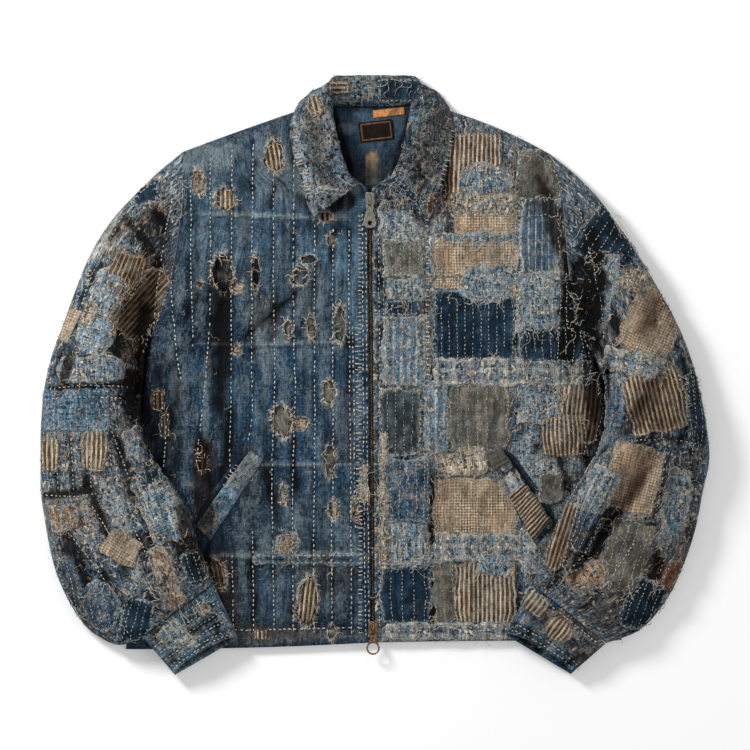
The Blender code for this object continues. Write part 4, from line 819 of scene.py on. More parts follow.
def under_patches(name, x, y):
    """1 where a panel lies under a patch."""
    covered = np.zeros(x.shape)
    for p, u, v in patches_at(name, x, y):
        covered = np.maximum(covered, (np.abs(u / p["half_w"]) < 0.98) & (np.abs(v / p["half_h"]) < 0.98))
    return covered


print("widest patch:", max(2 * p["half_w"] for _, _, p, _ in each_patch()), "mm")


# %% [markdown]
# ## Holes
# The right front is worn through in many places. Each hole is cut through the panel, and a piece of
# another cloth lies under it. The longest one is a slit that opens on the dark inside; the near-black
# cloth under the slits is painted shade standing in for it.

# %% Table of the holes
HOLE_COLUMNS = ("cloth", "x", "y", "rx", "ry", "turn")
HOLES = listed("""
    ticking -120.5 262 11.5 18 8; ticking -179.5 211 11.5 13 0; tan -212 231 7.5 14 0; ticking -60 190 8 6 0;
    black -183 122 11 22 4; black -143 123 4.5 20 0; tan -165 106 6.5 7 0; rust -210 110 3.4 4.5 0;
    slate -90 118 9.5 11 0; slate -80 139 9 5 0; grey -53 163 4.8 7.5 0; grey -42 60 6.5 22 0; grey -104 54 4.6 11 0;
    grey -77 57 5 14 6; stone -55 -21 7 14.5 0; stone -111 -55 11.5 19 10; check -90 -59 9.5 7 0;
    stone -54 -103 6.4 19 0; tan -110 -142 4.4 11.5 0; tan -50 -162 6 11.5 0; tan -23 -162 4.6 11.5 0;
    ticking -81 -272 12.5 28 -6; stone -52 -309 5.4 7.5 0; brown_ticking -189 -240 8.5 17 12;
    brown_ticking -208 -104 6 12 0; tan -166 30 5 6 0
""")
HOLES = [dict(zip(HOLE_COLUMNS, row)) for row in HOLES]


def inside_hole(h, x, y, seed):
    """How far out from a hole's middle each point lies, as a share of its ragged edge."""
    u, v = swung(x - h["x"], y - h["y"], h["turn"])
    u, v = u / h["rx"], v / h["ry"]
    angle = np.arctan2(v, u)
    rag = 1 + 0.16 * hills(angle * 3.0, 0 * angle + seed, 1.3, seed) + 0.08 * hills(angle * 9.0, 0 * angle, 1.0, seed)
    return np.sqrt(u * u + v * v) / rag


RIM_AT, RIM_RISE = 1.08, 0.9


def around_holes(x, y, reach):
    """1 along the edge of each hole, fading to 0 within that reach."""
    return [bell(inside_hole(h, x, y, seed) - RIM_AT, reach) for seed, h in enumerate(HOLES)]


def tilt(x, y):
    """The cloth near a hole's edge stands up a little."""
    total = np.zeros(x.shape)
    for near in around_holes(x, y, 0.22):
        total += RIM_RISE * near
    return total


print("holes:", len(HOLES))


# %% [markdown]
# ## The panels
# The fronts, sleeves, cuffs, collar and back are made at a cell size of about 3 mm. Their tones are
# painted one by one, a blot for each faded, greyed, saturated or rust-coloured area.

# %% Tones of each panel
# Most blots are the cloth's own fading, greying and rust. The ink and umber blots, and the brown, slate and dusk blots
# in the valleys between the sleeves and the body and beside the cuffs, are painted shade, partly over brown cloth that
# is really there.
TONES = {
    "front_right": ("indigo", listed("""
    sky .45 -110 190 120 80 0; pale .3 -80 240 70 36 0; sky .35 -60 120 50 50 0; blue .85 -110 -20 110 60 0;
    blue .8 -60 -100 60 50 0; sky .25 -80 -180 70 30 0; indigo .7 -244 -30 22 100 4; slate .5 -188 30 12 110 2;
    slate .4 -140 -160 50 50 0; brown .6 -182 -268 22 50 8; brown .5 -206 -150 12 46 8; grey .45 -84 108 24 30 0;
    stone .3 -130 60 22 40 0; sky .5 -24 60 14 120 0; sky .35 -200 150 24 50 0; pale .4 -200 262 40 16 8;
    grey .4 -60 -240 40 40 0; sky .35 -120 -270 50 30 0; slate .5 -180 -270 40 50 0; brown .5 -204 -96 14 24 0;
    stone .25 -30 -60 18 50 0; pale .65 -100 -216 90 4 0; stone .5 -150 -312 120 10 0;
    pale .6 -120 191 108 2.6 -2; pale .45 -120 38 100 1.8 1; pale .5 -90 -107 80 2.2 0; sky .6 -104 146 96 2 1;
    indigo .6 -110 176 100 8 -2; blue .7 -100 16 90 18 0
    """)),
    "front_left": ("mesh", listed("""
    pale .4 40 180 40 50 0; stone .25 120 220 60 60 0; brown .6 84 240 14 46 0; stone .4 200 240 40 40 0;
    sky .5 200 100 50 60 0; cream .35 64 70 10 90 0; pale .4 40 30 40 50 0; sky .5 200 -30 40 40 0;
    pale .4 100 -110 60 24 0; pale .65 210 -120 50 60 0; sky .5 40 -200 50 50 0; brown .4 84 -260 22 40 0;
    sky .4 190 -200 40 60 0; pale .5 90 -312 110 12 0; brown .5 214 180 22 60 14; dusk .5 240 0 24 60 0
    """)),
    "sleeve_right": ("mesh", listed("""
    sky .3 -380 40 22 120 -12; bone .5 -330 170 40 30 40; tan .6 -262 214 11 26 14; ink .8 -284 190 10 16 20;
    brown .6 -280 90 34 80 -10; umber .8 -268 20 26 100 0; brown .6 -366 -2 14 30 -20; stone .25 -350 -90 60 60 0;
    slate .5 -300 -40 30 50 0; pale .3 -340 -180 60 50 0; tan .4 -366 -170 40 24 0; brown .85 -284 76 26 60 -8;
    sky .5 -340 -250 50 50 0; brown .5 -260 -230 24 50 16; ink .6 -222 -200 14 40 16; navy .5 -276 214 30 16 30;
    sky .5 -330 60 30 60 -16; slate .5 -270 180 36 30 30
    """)),
    "sleeve_left": ("mesh", listed("""
    navy .5 280 160 50 40 -34; ink .7 250 60 20 90 -8; tan .3 330 60 40 50 -24; brown .4 344 96 20 30 -24;
    brown .7 328 -30 26 44 -30; brown .5 240 -200 26 60 -20; umber .7 262 -190 26 70 -30;
    slate .5 340 -160 40 70 -10; rust .5 350 -220 20 50 -20; brown .5 290 -270 50 40 -20;
    sky .5 300 -20 50 30 -10; pale .4 320 10 50 12 -14; slate .5 384 -60 16 90 0; sky .4 270 -90 30 50 -10;
    sky .4 226 -130 16 60 -20; navy .4 372 -150 24 70 0
    """)),
    "collar": ("mesh", listed("""
    pale .7 -92 262 9 70 12; pale .6 90 262 8 70 -12; pale .5 -20 350 60 7 0; grey .4 -64 262 16 50 20;
    grey .7 66 270 22 60 -10; brown .6 90 306 10 26 20; stone .5 -64 300 24 24 0; pale .4 -76 220 14 40 20;
    slate .5 -40 330 30 20 0; navy .7 30 340 34 16 0; pale .4 60 200 14 20 0; dusk .5 40 262 20 40 0;
    navy .7 22 232 12 14 0
    """)),
    "cuff_right": ("sky", listed("""
    pale .5 -226 -306 44 8 38; bone .8 -222 -318 11 6 38; blue .6 -256 -320 20 12 38; blue .6 -196 -292 20 12 38;
    pale .6 -204 -334 50 5 32; brown .6 -262 -300 12 20 0
    """)),
    "cuff_left": ("blue", listed("""
    sky .6 190 -300 40 12 -38; stone .6 216 -300 24 16 -38; brown .6 250 -318 24 24 -38;
    pale .75 190 -332 56 6 -31; navy .6 246 -290 14 14 0; tan .5 222 -298 18 12 -38
    """)),
    "back": ("indigo", listed("""
    blue .7 10 300 60 40 0; sky .3 -12 300 16 30 0; slate .4 20 220 40 40 0; tan .95 -4 258 7 11 0;
    stone .8 -4 240 7.5 16 0; pale .6 -3 222 7 12 0; pale .4 -36 296 14 7 0;
    sky .8 -284 -322 24 9 0; sky .8 284 -322 24 9 0
    """)),
}
print("blots of tone:", sum(len(rows) for _, rows in TONES.values()))

# %% Shades of each panel
SHADES = {
    "front_right": listed("""
    .82 -187 34 4.2 100 2; .6 -192 40 13 100 3; .6 -190 110 10 26 0; .85 -206 -110 12 40 8; .6 -196 -200 18 50 10;
    .45 -124 255 60 10 -10; .8 -256 -70 18 90 0; .7 -70 200 50 10 -30; .5 -160 -110 16 40 0;
    .4 -130 -300 100 12 0; 1 -36 208 21 12 38; .45 -60 214 30 12 -20; .7 -240 -60 9 90 0; .65 -129 69 51 1.5 40;
    .6 -120 187 108 1.8 -2; .5 -110 33 96 1.8 1; .85 -206 -150 11 50 8; .9 -208 -262 24 62 12;
    .55 -98 -222 92 2.2 0; .5 -90 -112 80 2 0; .7 -214 130 4 60 0; .5 -158 200 5 60 4; .45 -108 150 4 60 0;
    .5 -84 10 4 60 0; .5 -134 -60 4 70 4; .5 -62 -150 4 80 0
    """),
    "front_left": listed("""
    .75 84 236 10 50 4; .8 60 196 14 22 0; .85 212 190 12 60 16; 1 236 92 17 90 -4; .9 262 10 14 70 0;
    .7 262 -100 16 90 0; .3 206 -170 14 60 0; .5 70 -150 8 60 0; .6 40 206 40 8 10; .5 66 60 5 80 0
    """),
    "sleeve_right": listed("""
    .95 -272 -10 18 110 4; .6 -286 76 24 60 -10; .9 -369 10 7 36 -16; .9 -266 180 18 20 30; .8 -222 -196 12 50 18;
    .5 -256 150 12 40 0; .6 -300 -110 10 50 16; .5 -360 -250 12 60 20
    """),
    "sleeve_left": listed("""
    1 250 70 26 100 -8; .62 340 84 9 40 -24; .4 322 70 6 30 -20; .8 262 -196 12 60 -30; .66 304 -150 10 60 -32;
    .5 326 -110 10 34 -30; .66 326 -33 14 44 -30; .5 384 -60 8 80 0; .6 352 -120 8 50 -16; .6 230 -200 14 50 -24;
    .6 360 -220 14 60 -24; .45 300 -280 50 30 -10; .5 350 -36 24 40 -14; .6 276 176 30 8 -34
    """),
    "collar": listed("""
    .6 0 322 60 6 0; .4 -66 262 12 60 16; .5 -46 214 16 7 24; .4 62 262 12 60 -16; .5 -96 262 6 60 10;
    .5 96 262 6 60 -10
    """),
    "cuff_right": listed("0.7 -250 -344 16 8 38; 0.6 -228 -338 50 2 32"),
    "cuff_left": listed("0.7 250 -342 14 10 -38; 0.5 208 -322 56 2 -31"),
    "back": listed("""
    1 -44 280 12 60 14; 1 40 280 12 60 -14; .8 0 214 60 12 0; .6 0 322 50 6 0; 1 -280 -30 12 110 0;
    1 276 -30 12 110 0
    """),
}
print("blots of shade:", sum(map(len, SHADES.values())))


# %% Dress one panel's grid
def shade_beside_patches(name, x, y):
    """1 along a line of painted shade where a patch meets the panel, 0 elsewhere."""
    line = np.zeros(x.shape)
    for p, u, v in patches_at(name, x, y):
        out = np.maximum(abs(u) - p["half_w"], abs(v) - p["half_h"])
        line = np.maximum(line, bell(out - 0.5, 2.2))
    return line * unit(0.55 + 0.6 * hills(x, y, 12, 83))


def values_of(name, grid, bump, fuzz):
    """The painted and measured values of a panel's points."""
    x, y = grid[..., 0], grid[..., 1]
    base, rows = TONES[name]
    worn = unit(0.45 + 0.3 * bump)
    shade = shaded(x, y, SHADES.get(name, ())) * (0.8 + 0.35 * hills(x, y, 7, 81, 2.5))
    shade = np.maximum(shade, np.clip(-(bump + 0.35) / 2.6, 0, 0.8))
    # Painted shade also lies along the lines where patches meet the panel.
    shade = unit(np.maximum(shade, 0.6 * shade_beside_patches(name, x, y)))
    fuzz = fuzz * (1 - under_patches(name, x, y)) * (1 - 0.7 * shade)
    rim = np.maximum.reduce(around_holes(x, y, 0.2)) if name == "front_right" else np.zeros(x.shape)
    return {
        "tone": painted(x, y, base, rows), "shade": shade[..., None],
        "worn": worn[..., None], "fuzz": fuzz[..., None], "rim": rim[..., None],
    }


tops = {}


# %% Make the fronts
CELL = 3.0
THICK = 1.3


def make_front(side):
    name = "front_" + SIDE_NAMES[side]
    steps = int(288 / CELL)
    level, share = np.meshgrid(np.linspace(HEM, SHOULDER, int(650 / CELL)), np.linspace(0, 1, steps), indexing="ij")
    x, y = body_plan(side, share, level)
    keep = np.ones((level.shape[0] - 1, level.shape[1] - 1), bool)
    if side == RIGHT:
        for seed, h in enumerate(HOLES):
            far = inside_hole(h, x, y, seed)
            within = far < 1
            gone = within[:-1, :-1] & within[1:, :-1] & within[:-1, 1:] & within[1:, 1:]
            keep &= ~gone
            moved = within & (far > 0.2)
            x = np.where(moved, h["x"] + (x - h["x"]) / np.maximum(far, 0.2), x)
            y = np.where(moved, h["y"] + (y - h["y"]) / np.maximum(far, 0.2), y)
    room = fold_room(share, level)
    flat = np.stack([x, y, body_height(share, level)], axis=-1)
    place = lengths(flat)
    soft = unit(room + 0.15) * np.clip(share / 0.02, 0.3, 1)
    bump = crumple(name, x, y, place[..., 0], place[..., 1]) * soft
    outer = flat.copy()
    folds = fold_height(x, y, BODY_FOLDS) * room
    outer[..., 2] += folds + bump + (tilt(x, y) if side == RIGHT else 0)
    inner = outer - THICK * np.where(room[..., None] > 0.02, grid_normals(outer), (0, 0, 1.0))
    tops[name] = outer
    values = values_of(name, outer, bump + 0.35 * folds, 0.2 if side == RIGHT else 1.0)
    return closed_shell(name + "_cloth", outer, inner, place, values, keep)


panels = {"front_right": make_front(RIGHT), "front_left": make_front(LEFT)}
print("fronts:", [len(o.data.polygons) for o in panels.values()], "faces")


# %% Make the sleeves
def inside_of(grid, thickness):
    """The inner face of a laid tube: its upper half lowered, its lower half raised, its edges drawn in."""
    half = grid.shape[1] // 2
    faces = []
    for face, drop in ((grid[:, :half], -thickness), (grid[:, half:][:, ::-1], thickness)):
        along = np.gradient(face[..., :2], axis=1)
        along /= np.linalg.norm(along, axis=-1, keepdims=True)
        chord = face[:, -1:, :2] - face[:, :1, :2]
        part = ((face[..., :2] - face[:, :1, :2]) * chord).sum(-1) / (chord**2).sum(-1)
        inner = face.copy()
        inner[..., :2] += along * (thickness * (1 - 2 * unit(part)))[..., None]
        inner[..., 2] += drop
        faces.append(inner)
    return np.concatenate([faces[0], faces[1][:, ::-1]], axis=1)


def laid_tube(name, over, below, swell, ends, fuzz):
    """A tube that lies flat, with its crumpling on the upper side only."""
    place = lengths(over)
    bump = crumple(name, over[..., 0], over[..., 1], place[..., 0], place[..., 1])
    bump = bump * unit(swell * 2.2) * ends
    over = over.copy()
    over[..., 2] += bump
    tops[name] = over
    grid = np.concatenate([over, below[:, ::-1]], axis=1)
    top = values_of(name, over, bump, fuzz)
    values = {key: np.concatenate([part, (part * (key != "fuzz"))[:, ::-1]], axis=1) for key, part in top.items()}
    t = np.linspace(0, 1, over.shape[1])
    sides = over[:, [0, -1], 2] - below[:, [0, -1], 2]
    turned_under = place.copy()
    turned_under[..., 0] += sides[:, 1:] * t - sides[:, :1] * (1 - t)
    uv = np.concatenate([place, turned_under[:, ::-1]], axis=1)
    return closed_shell(name + "_cloth", grid, inside_of(grid, THICK), uv, values, ring=True)


SLEEVE_STEPS, CUFF_STEPS = (168, 56), (26, 38)


def spaced(last, steps):
    """A grid of places along a tube, up to the last, and across it, from 0 to 1."""
    return np.meshgrid(np.linspace(0, last, steps[0]), np.linspace(0, 1, steps[1]), indexing="ij")


def make_sleeve(side):
    name = "sleeve_" + SIDE_NAMES[side]
    ring, share = spaced(LAST_RING, SLEEVE_STEPS)
    over, below = sleeve_point(side, ring, share, True), sleeve_point(side, ring, share, False)
    ends = unit(ring / 1.2) * np.clip((LAST_RING - ring) / 0.5, 0.1, 1)
    return laid_tube(name, over, below, np.sin(np.pi * share), ends, 1.0)


def make_cuff(side):
    name = "cuff_" + SIDE_NAMES[side]
    along, share = spaced(1, CUFF_STEPS)
    over, below = cuff_point(side, along, share, True), cuff_point(side, along, share, False)
    return laid_tube(name, over, below, np.sin(np.pi * share), np.clip(along * 6, 0.2, 1), 0.6)


for side in (RIGHT, LEFT):
    panels["sleeve_" + SIDE_NAMES[side]] = make_sleeve(side)
    panels["cuff_" + SIDE_NAMES[side]] = make_cuff(side)
print("sleeves and cuffs:", [name for name in panels if "front" not in name])


# %% Make the collar and the back
LAST_SECTION, COLLAR_STEPS, COLLAR_ACROSS = 10, 96, 34


def make_collar():
    half = np.array([collar_section(place) for place in np.linspace(0, LAST_SECTION, COLLAR_STEPS)])
    grid = np.concatenate([half[1:][::-1] * np.array([-1, 1, 1]), half])
    places = np.abs(np.linspace(-LAST_SECTION, LAST_SECTION, len(grid)))
    grid[..., 0] += np.interp(places, (1.0, 5.0), (1.5, -4.5))[:, None]
    along = np.linspace(0, grid.shape[1] - 1, COLLAR_ACROSS)
    fine = np.empty((len(grid), len(along), 3))
    for i, line in enumerate(grid):
        for k in range(3):
            fine[i, :, k] = smooth(along, np.arange(float(len(line))), line[:, k])
    place = lengths(fine)
    normal = np.cross(np.gradient(fine, axis=1), np.gradient(fine, axis=0))
    normal /= np.maximum(np.linalg.norm(normal, axis=-1, keepdims=True), 1e-9)
    normal *= np.sign(normal[:, 24:30, 2].mean())
    bump = 0.9 * hills(place[..., 1], place[..., 0], 12, 31) + 0.7 * hills(place[..., 1], place[..., 0], 6, 32)
    free = unit((along - 2) / 3)[None, :]
    outer = fine + normal * (THICK / 2 + (bump * free)[..., None])
    inner = outer - normal * THICK
    tops["collar"] = outer
    return closed_shell("collar_cloth", outer, inner, place, values_of("collar", outer, bump, 1.0))


BACK_THICK = 2.0


def make_back():
    levels = np.concatenate([np.linspace(HEM, 196, 40), np.linspace(200, SHOULDER, 36)])
    shares = np.concatenate([np.linspace(0, 0.3, 22), np.linspace(0.34, 1, 12)])
    level, share = np.meshgrid(levels, shares, indexing="ij")
    right, left = back_point(RIGHT, share, level), back_point(LEFT, share, level)
    # The back reaches out under the gaps between the body and the sleeves. Its blots of painted shade are black there,
    # so these gaps read dark instead of showing the floor.
    slit = share**8 * unit((45 - level) / 25) * unit((level + 120) / 25)
    right[..., 0] -= 3.5 * slit
    left[..., 0] += 6.0 * slit
    outer = np.concatenate([right[:, ::-1], left[:, 1:]], axis=1)
    x, y = outer[..., 0], outer[..., 1]
    near = unit((y - 200) / 30) * unit((64 - np.abs(x)) / 20) * unit((316 - y) / 8)
    bump = near * (0.9 * hills(x, y, 16, 51, 2.6) + 0.5 * hills(x, y, 7, 52, 2.0) + 0.7)
    inner = outer - np.array([0, 0, BACK_THICK])
    outer = outer + np.stack([0 * bump, 0 * bump, bump], axis=-1)
    tops["back"] = outer
    return closed_shell("back_cloth", outer, inner, lengths(outer), values_of("back", outer, bump, 0.0))


panels["collar"], panels["back"] = make_collar(), make_back()
print("panels:", {name: len(o.data.polygons) for name, o in panels.items()})

# %% [markdown]
# ## Cloth by nodes
# All these cloths are plain weaves of cotton, so one recipe makes them, with other numbers for each.
# From the large to the small: a tone, clouds of fading, streaks along the warp, thin lines of painted
# shade along the warp, ribs of yarn, light flecks where yarn ends stand out, dark gaps where the weave
# has opened, pale worn ridges, painted shade in folds, gaps and under the collar that turns the colour
# brown and then black, and a paler frayed rim. The same flecks and gaps also drive the bump.

# %% Short names for nodes
class Nodes:
    """Adds nodes to a tree and joins them in one line each."""

    def __init__(self, tree):
        self.tree = tree

    def put(self, socket, value):
        if isinstance(value, bpy.types.NodeSocket):
            self.tree.links.new(value, socket)
        elif value is not None:
            socket.default_value = value

    def add(self, kind, inputs=None, out=0, **settings):
        node = self.tree.nodes.new(kind)
        for key, value in settings.items():
            setattr(node, key, value)
        for key, value in (inputs or {}).items():
            self.put(node.inputs[key], value)
        return node.outputs[out]

    def math(self, operation, a, b=0.5):
        return self.add("ShaderNodeMath", {0: a, 1: b}, operation=operation)

    def times(self, a, b):
        return self.math("MULTIPLY", a, b)

    def mix(self, share, a, b, blend="MIX"):
        a, b = (v if isinstance(v, bpy.types.NodeSocket) else (*colour(v), 1.0) for v in (a, b))
        return self.add("ShaderNodeMix", {0: share, 6: a, 7: b}, 2, data_type="RGBA", blend_type=blend)

    def scaled(self, vector, across, along, shift=0.0):
        """A vector in metres turned into steps of that many mm."""
        step = (1000.0 / across, 1000.0 / along, 1000.0 / across)
        apart = (shift, shift * 1.7, shift * 0.6)
        return self.add("ShaderNodeVectorMath", {0: vector, 1: step, 2: apart}, operation="MULTIPLY_ADD")

    def grain(self, vector, across, along, shift=0.0, detail=2.0, twist=0.0):
        """Random hills from 0 to 1, that wide and long in mm."""
        return self.add("ShaderNodeTexNoise", {
            "Vector": self.scaled(vector, across, along, shift), "Scale": 1.0, "Detail": detail, "Distortion": twist,
        })

    def ramp(self, value, *stops):
        """Grey or colour stops: (place, grey value or colour name)."""
        output = self.add("ShaderNodeValToRGB", {0: value})
        marks = output.node.color_ramp.elements
        while len(marks) < len(stops):
            marks.new(0.5)
        for mark, (place, tint) in zip(marks, stops):
            mark.position = place
            mark.color = (tint, tint, tint, 1) if isinstance(tint, (int, float)) else (*colour(tint), 1)
        return output

    def step(self, value, low, high):
        """0 below low, 1 above high."""
        return self.add("ShaderNodeMapRange", {0: value, 1: low, 2: high, 3: 0.0, 4: 1.0})

    def attribute(self, name, out=2):
        return self.add("ShaderNodeAttribute", out=out, attribute_name=name)


# %% A new material
def new_material(name, roughness, metallic=0.0):
    made = bpy.data.materials.new(name)
    made.use_nodes = True
    shader = made.node_tree.nodes["Principled BSDF"]
    shader.inputs["Roughness"].default_value = roughness
    shader.inputs["Metallic"].default_value = metallic
    return made, Nodes(made.node_tree), shader


# %% Stripes and checks
def wavy(n, uv, axis, period, waver=0.5):
    """Where a point lies in a period, 0 to 1, along an axis of the cloth, with wavering yarns."""
    parts = n.add("ShaderNodeSeparateXYZ", {0: uv}, axis)
    drift = n.times(n.grain(uv, 14, 30, 3.0), waver * 2.0 / period)
    return n.math("FRACT", n.math("ADD", n.times(parts, 1000.0 / period), drift))


def ticking(n, uv, light=(206, 180, 148), edge="tan", dark="dusk", worn="brown"):
    place = wavy(n, uv, 0, 5.4, 0.9)
    stripes = n.ramp(
        place, (0.0, edge), (0.08, light), (0.34, light), (0.44, edge), (0.53, dark),
        (0.66, dark), (0.74, "stone"), (0.81, dark), (0.94, dark),
    )
    return n.mix(n.times(n.step(n.grain(uv, 5, 22, 6.0), 0.5, 0.8), 0.5), stripes, worn)


def checked(light, middle, dark, period=3.4, pull=0.7):
    def pattern(n, uv):
        stops = (0.0, 0.0), (0.3, 1.0), (0.62, 1.0), (0.86, 0.0)
        lines = [n.ramp(wavy(n, uv, axis, period, pull), *stops) for axis in (0, 1)]
        both = n.times(lines[0], lines[1])
        either = n.math("MAXIMUM", lines[0], lines[1])
        cloth = n.mix(either, dark, middle)
        cloth = n.mix(both, cloth, light)
        return n.mix(n.step(n.grain(uv, 22, 30, 8.0), 0.4, 0.7), cloth, middle)
    return pattern


def lined(ground, line, period, width=0.16):
    def pattern(n, uv):
        stripe = n.ramp(wavy(n, uv, 0, period, 1.0), (0.0, 0.0), (0.42 - width, 0.0), (0.42, 1.0), (0.42 + width, 0.0))
        broken = n.times(stripe, n.step(n.grain(uv, 3, 3.4, 9.0), 0.35, 0.55))
        return n.mix(broken, ground, line)
    return pattern


def banded(n, uv):
    across = (0.0, "sky"), (0.3, "pale"), (0.5, "cream"), (0.62, "blue"), (0.85, "blue")
    along = (0.0, "mesh"), (0.3, "bone"), (0.5, "pale"), (0.66, "indigo"), (0.9, "sky")
    return n.mix(0.5, n.ramp(wavy(n, uv, 0, 21, 3.0), *across), n.ramp(wavy(n, uv, 1, 14, 3.0), *along))


def plain(ground, worn, share=(0.4, 0.75)):
    def pattern(n, uv):
        return n.mix(n.step(n.grain(uv, 6, 40, 4.0), *share), ground, worn)
    return pattern


# %% The cloth recipe
def cloth(name, pattern=None, flecks=0.4, fleck="bone", gaps=0.4, streaks=0.3, clouds=0.3, rib=0.35, wear=0.3,
          knit=0.0, mottle=0.3, pleat_shade=0.25, nubs=0.0, rim="pale", rough=0.9, relief=0.8, coarse=1.0):
    made, n, shader = new_material(name, rough)
    uv = n.add("ShaderNodeUVMap", uv_map="cloth")
    tone = n.attribute("tone", 0)
    base = n.mix(1.0, pattern(n, uv), tone, "MULTIPLY") if pattern else tone
    grey = lambda value, low, high: n.ramp(value, (0.27, low), (0.73, high))
    wave = lambda vector, axis, warp: n.add("ShaderNodeTexWave", {
        "Vector": vector, "Scale": 0.314, "Distortion": warp, "Detail": 1.0, "Detail Scale": 1.4,
    }, 1, bands_direction=axis)
    base = n.mix(1.0, base, grey(n.grain(uv, 34, 44, 1.0, 3.0), 1 - clouds, 1 + clouds * 0.8), "MULTIPLY")
    base = n.mix(1.0, base, grey(n.grain(uv, 3.4, 46, 2.0, 3.0), 1 - streaks, 1 + streaks), "MULTIPLY")
    # Painted shade: thin dark lines along the warp, mixed toward ink, for the shade of small pleat lines.
    pleat_shade_lines = n.times(n.step(n.grain(uv, 2.8, 34, 51.0, 1.0, 0.3), 0.42, 0.32), pleat_shade)
    base = n.mix(pleat_shade_lines, base, "ink")
    mottling = n.grain(uv, 5.0, 8.0, 31.0, 3.0, 0.5)
    base = n.mix(1.0, base, grey(mottling, 1 - mottle, 1 + mottle), "MULTIPLY")
    worn = n.times(n.attribute("worn"), n.grain(uv, 2.6, 7, 5.0))
    base = n.mix(n.times(n.step(worn, 0.2, 0.5), wear), base, fleck)
    warp, weft = wave(n.scaled(uv, 1.7 * coarse, 9.0), "X", 1.4), wave(n.scaled(uv, 9.0, 1.9 * coarse, 4.0), "Y", 1.4)
    yarns = n.times(n.math("ADD", warp, weft), 0.5)
    base = n.mix(1.0, base, grey(yarns, 1 - rib, 1 + rib * 0.6), "MULTIPLY")
    lengthwise = n.step(n.grain(uv, 1.7 * coarse, 5.5 * coarse, 11.0, 1.0, 0.6), 0.59, 0.65)
    crosswise = n.step(n.grain(uv, 5.5 * coarse, 1.7 * coarse, 17.0, 1.0, 0.6), 0.61, 0.67)
    light = n.math("MAXIMUM", lengthwise, crosswise)
    open_gap = n.step(n.grain(uv, 2.6 * coarse, 3.4 * coarse, 23.0, 1.5, 0.8), 0.47, 0.37)
    if knit:
        columns, loops = wave(n.scaled(uv, 5.2, 8.0, 7.0), "X", 9.0), wave(n.scaled(uv, 8.0, 3.5, 9.0), "Y", 9.0)
        chain = n.step(n.times(columns, loops), 0.26, 0.5)
        where = n.times(n.step(n.grain(uv, 13, 16, 41.0), 0.45, 0.6), knit)
        light = n.math("MAXIMUM", light, n.times(chain, where))
        between_loops = n.math("SUBTRACT", 1.0, n.step(columns, 0.1, 0.45))
        open_gap = n.math("MAXIMUM", open_gap, n.times(between_loops, where))
    base = n.mix(n.times(open_gap, gaps), base, "ink")
    shade = n.attribute("shade")
    lit = n.math("SUBTRACT", 1.0, shade)
    places = n.grain(uv, 9, 12, 43.0)
    tints = n.mix(n.step(places, 0.50, 0.60), "pale" if fleck == "bone" else fleck, fleck)
    tints = n.mix(n.times(n.step(places, 0.62, 0.70), 0.6 * nubs), tints, "tan")
    knots = n.grain(uv, 5.0, 6.0, 47.0, 1.0, 0.5)
    base = n.mix(n.times(n.step(knots, 0.61, 0.65), nubs), base, "tan")
    base = n.mix(n.times(n.step(knots, 0.65, 0.69), nubs), base, "cream")
    base = n.mix(n.times(n.times(light, flecks), lit), base, tints)
    if rim:
        edge = n.times(n.attribute("rim"), n.step(n.grain(uv, 3.0, 3.0, 29.0), 0.42, 0.62))
        base = n.mix(edge, base, rim)
    base = n.mix(n.times(shade, 0.95), base, n.mix(1.0, base, (140, 106, 76), "MULTIPLY"))
    base = n.mix(n.times(n.step(shade, 0.47, 0.9), 0.95), base, "black")
    n.put(shader.inputs["Base Color"], base)
    height = n.math("ADD", n.times(yarns, 0.35), n.times(light, 0.9 * flecks + 0.1))
    height = n.math("SUBTRACT", height, n.times(open_gap, 0.9 * gaps))
    height = n.math("ADD", height, n.times(mottling, 1.2))
    n.put(shader.inputs["Normal"], n.add("ShaderNodeBump", {"Height": height, "Distance": 0.0013, "Strength": relief}))
    shader.inputs["Specular IOR Level"].default_value = 0.15
    return made


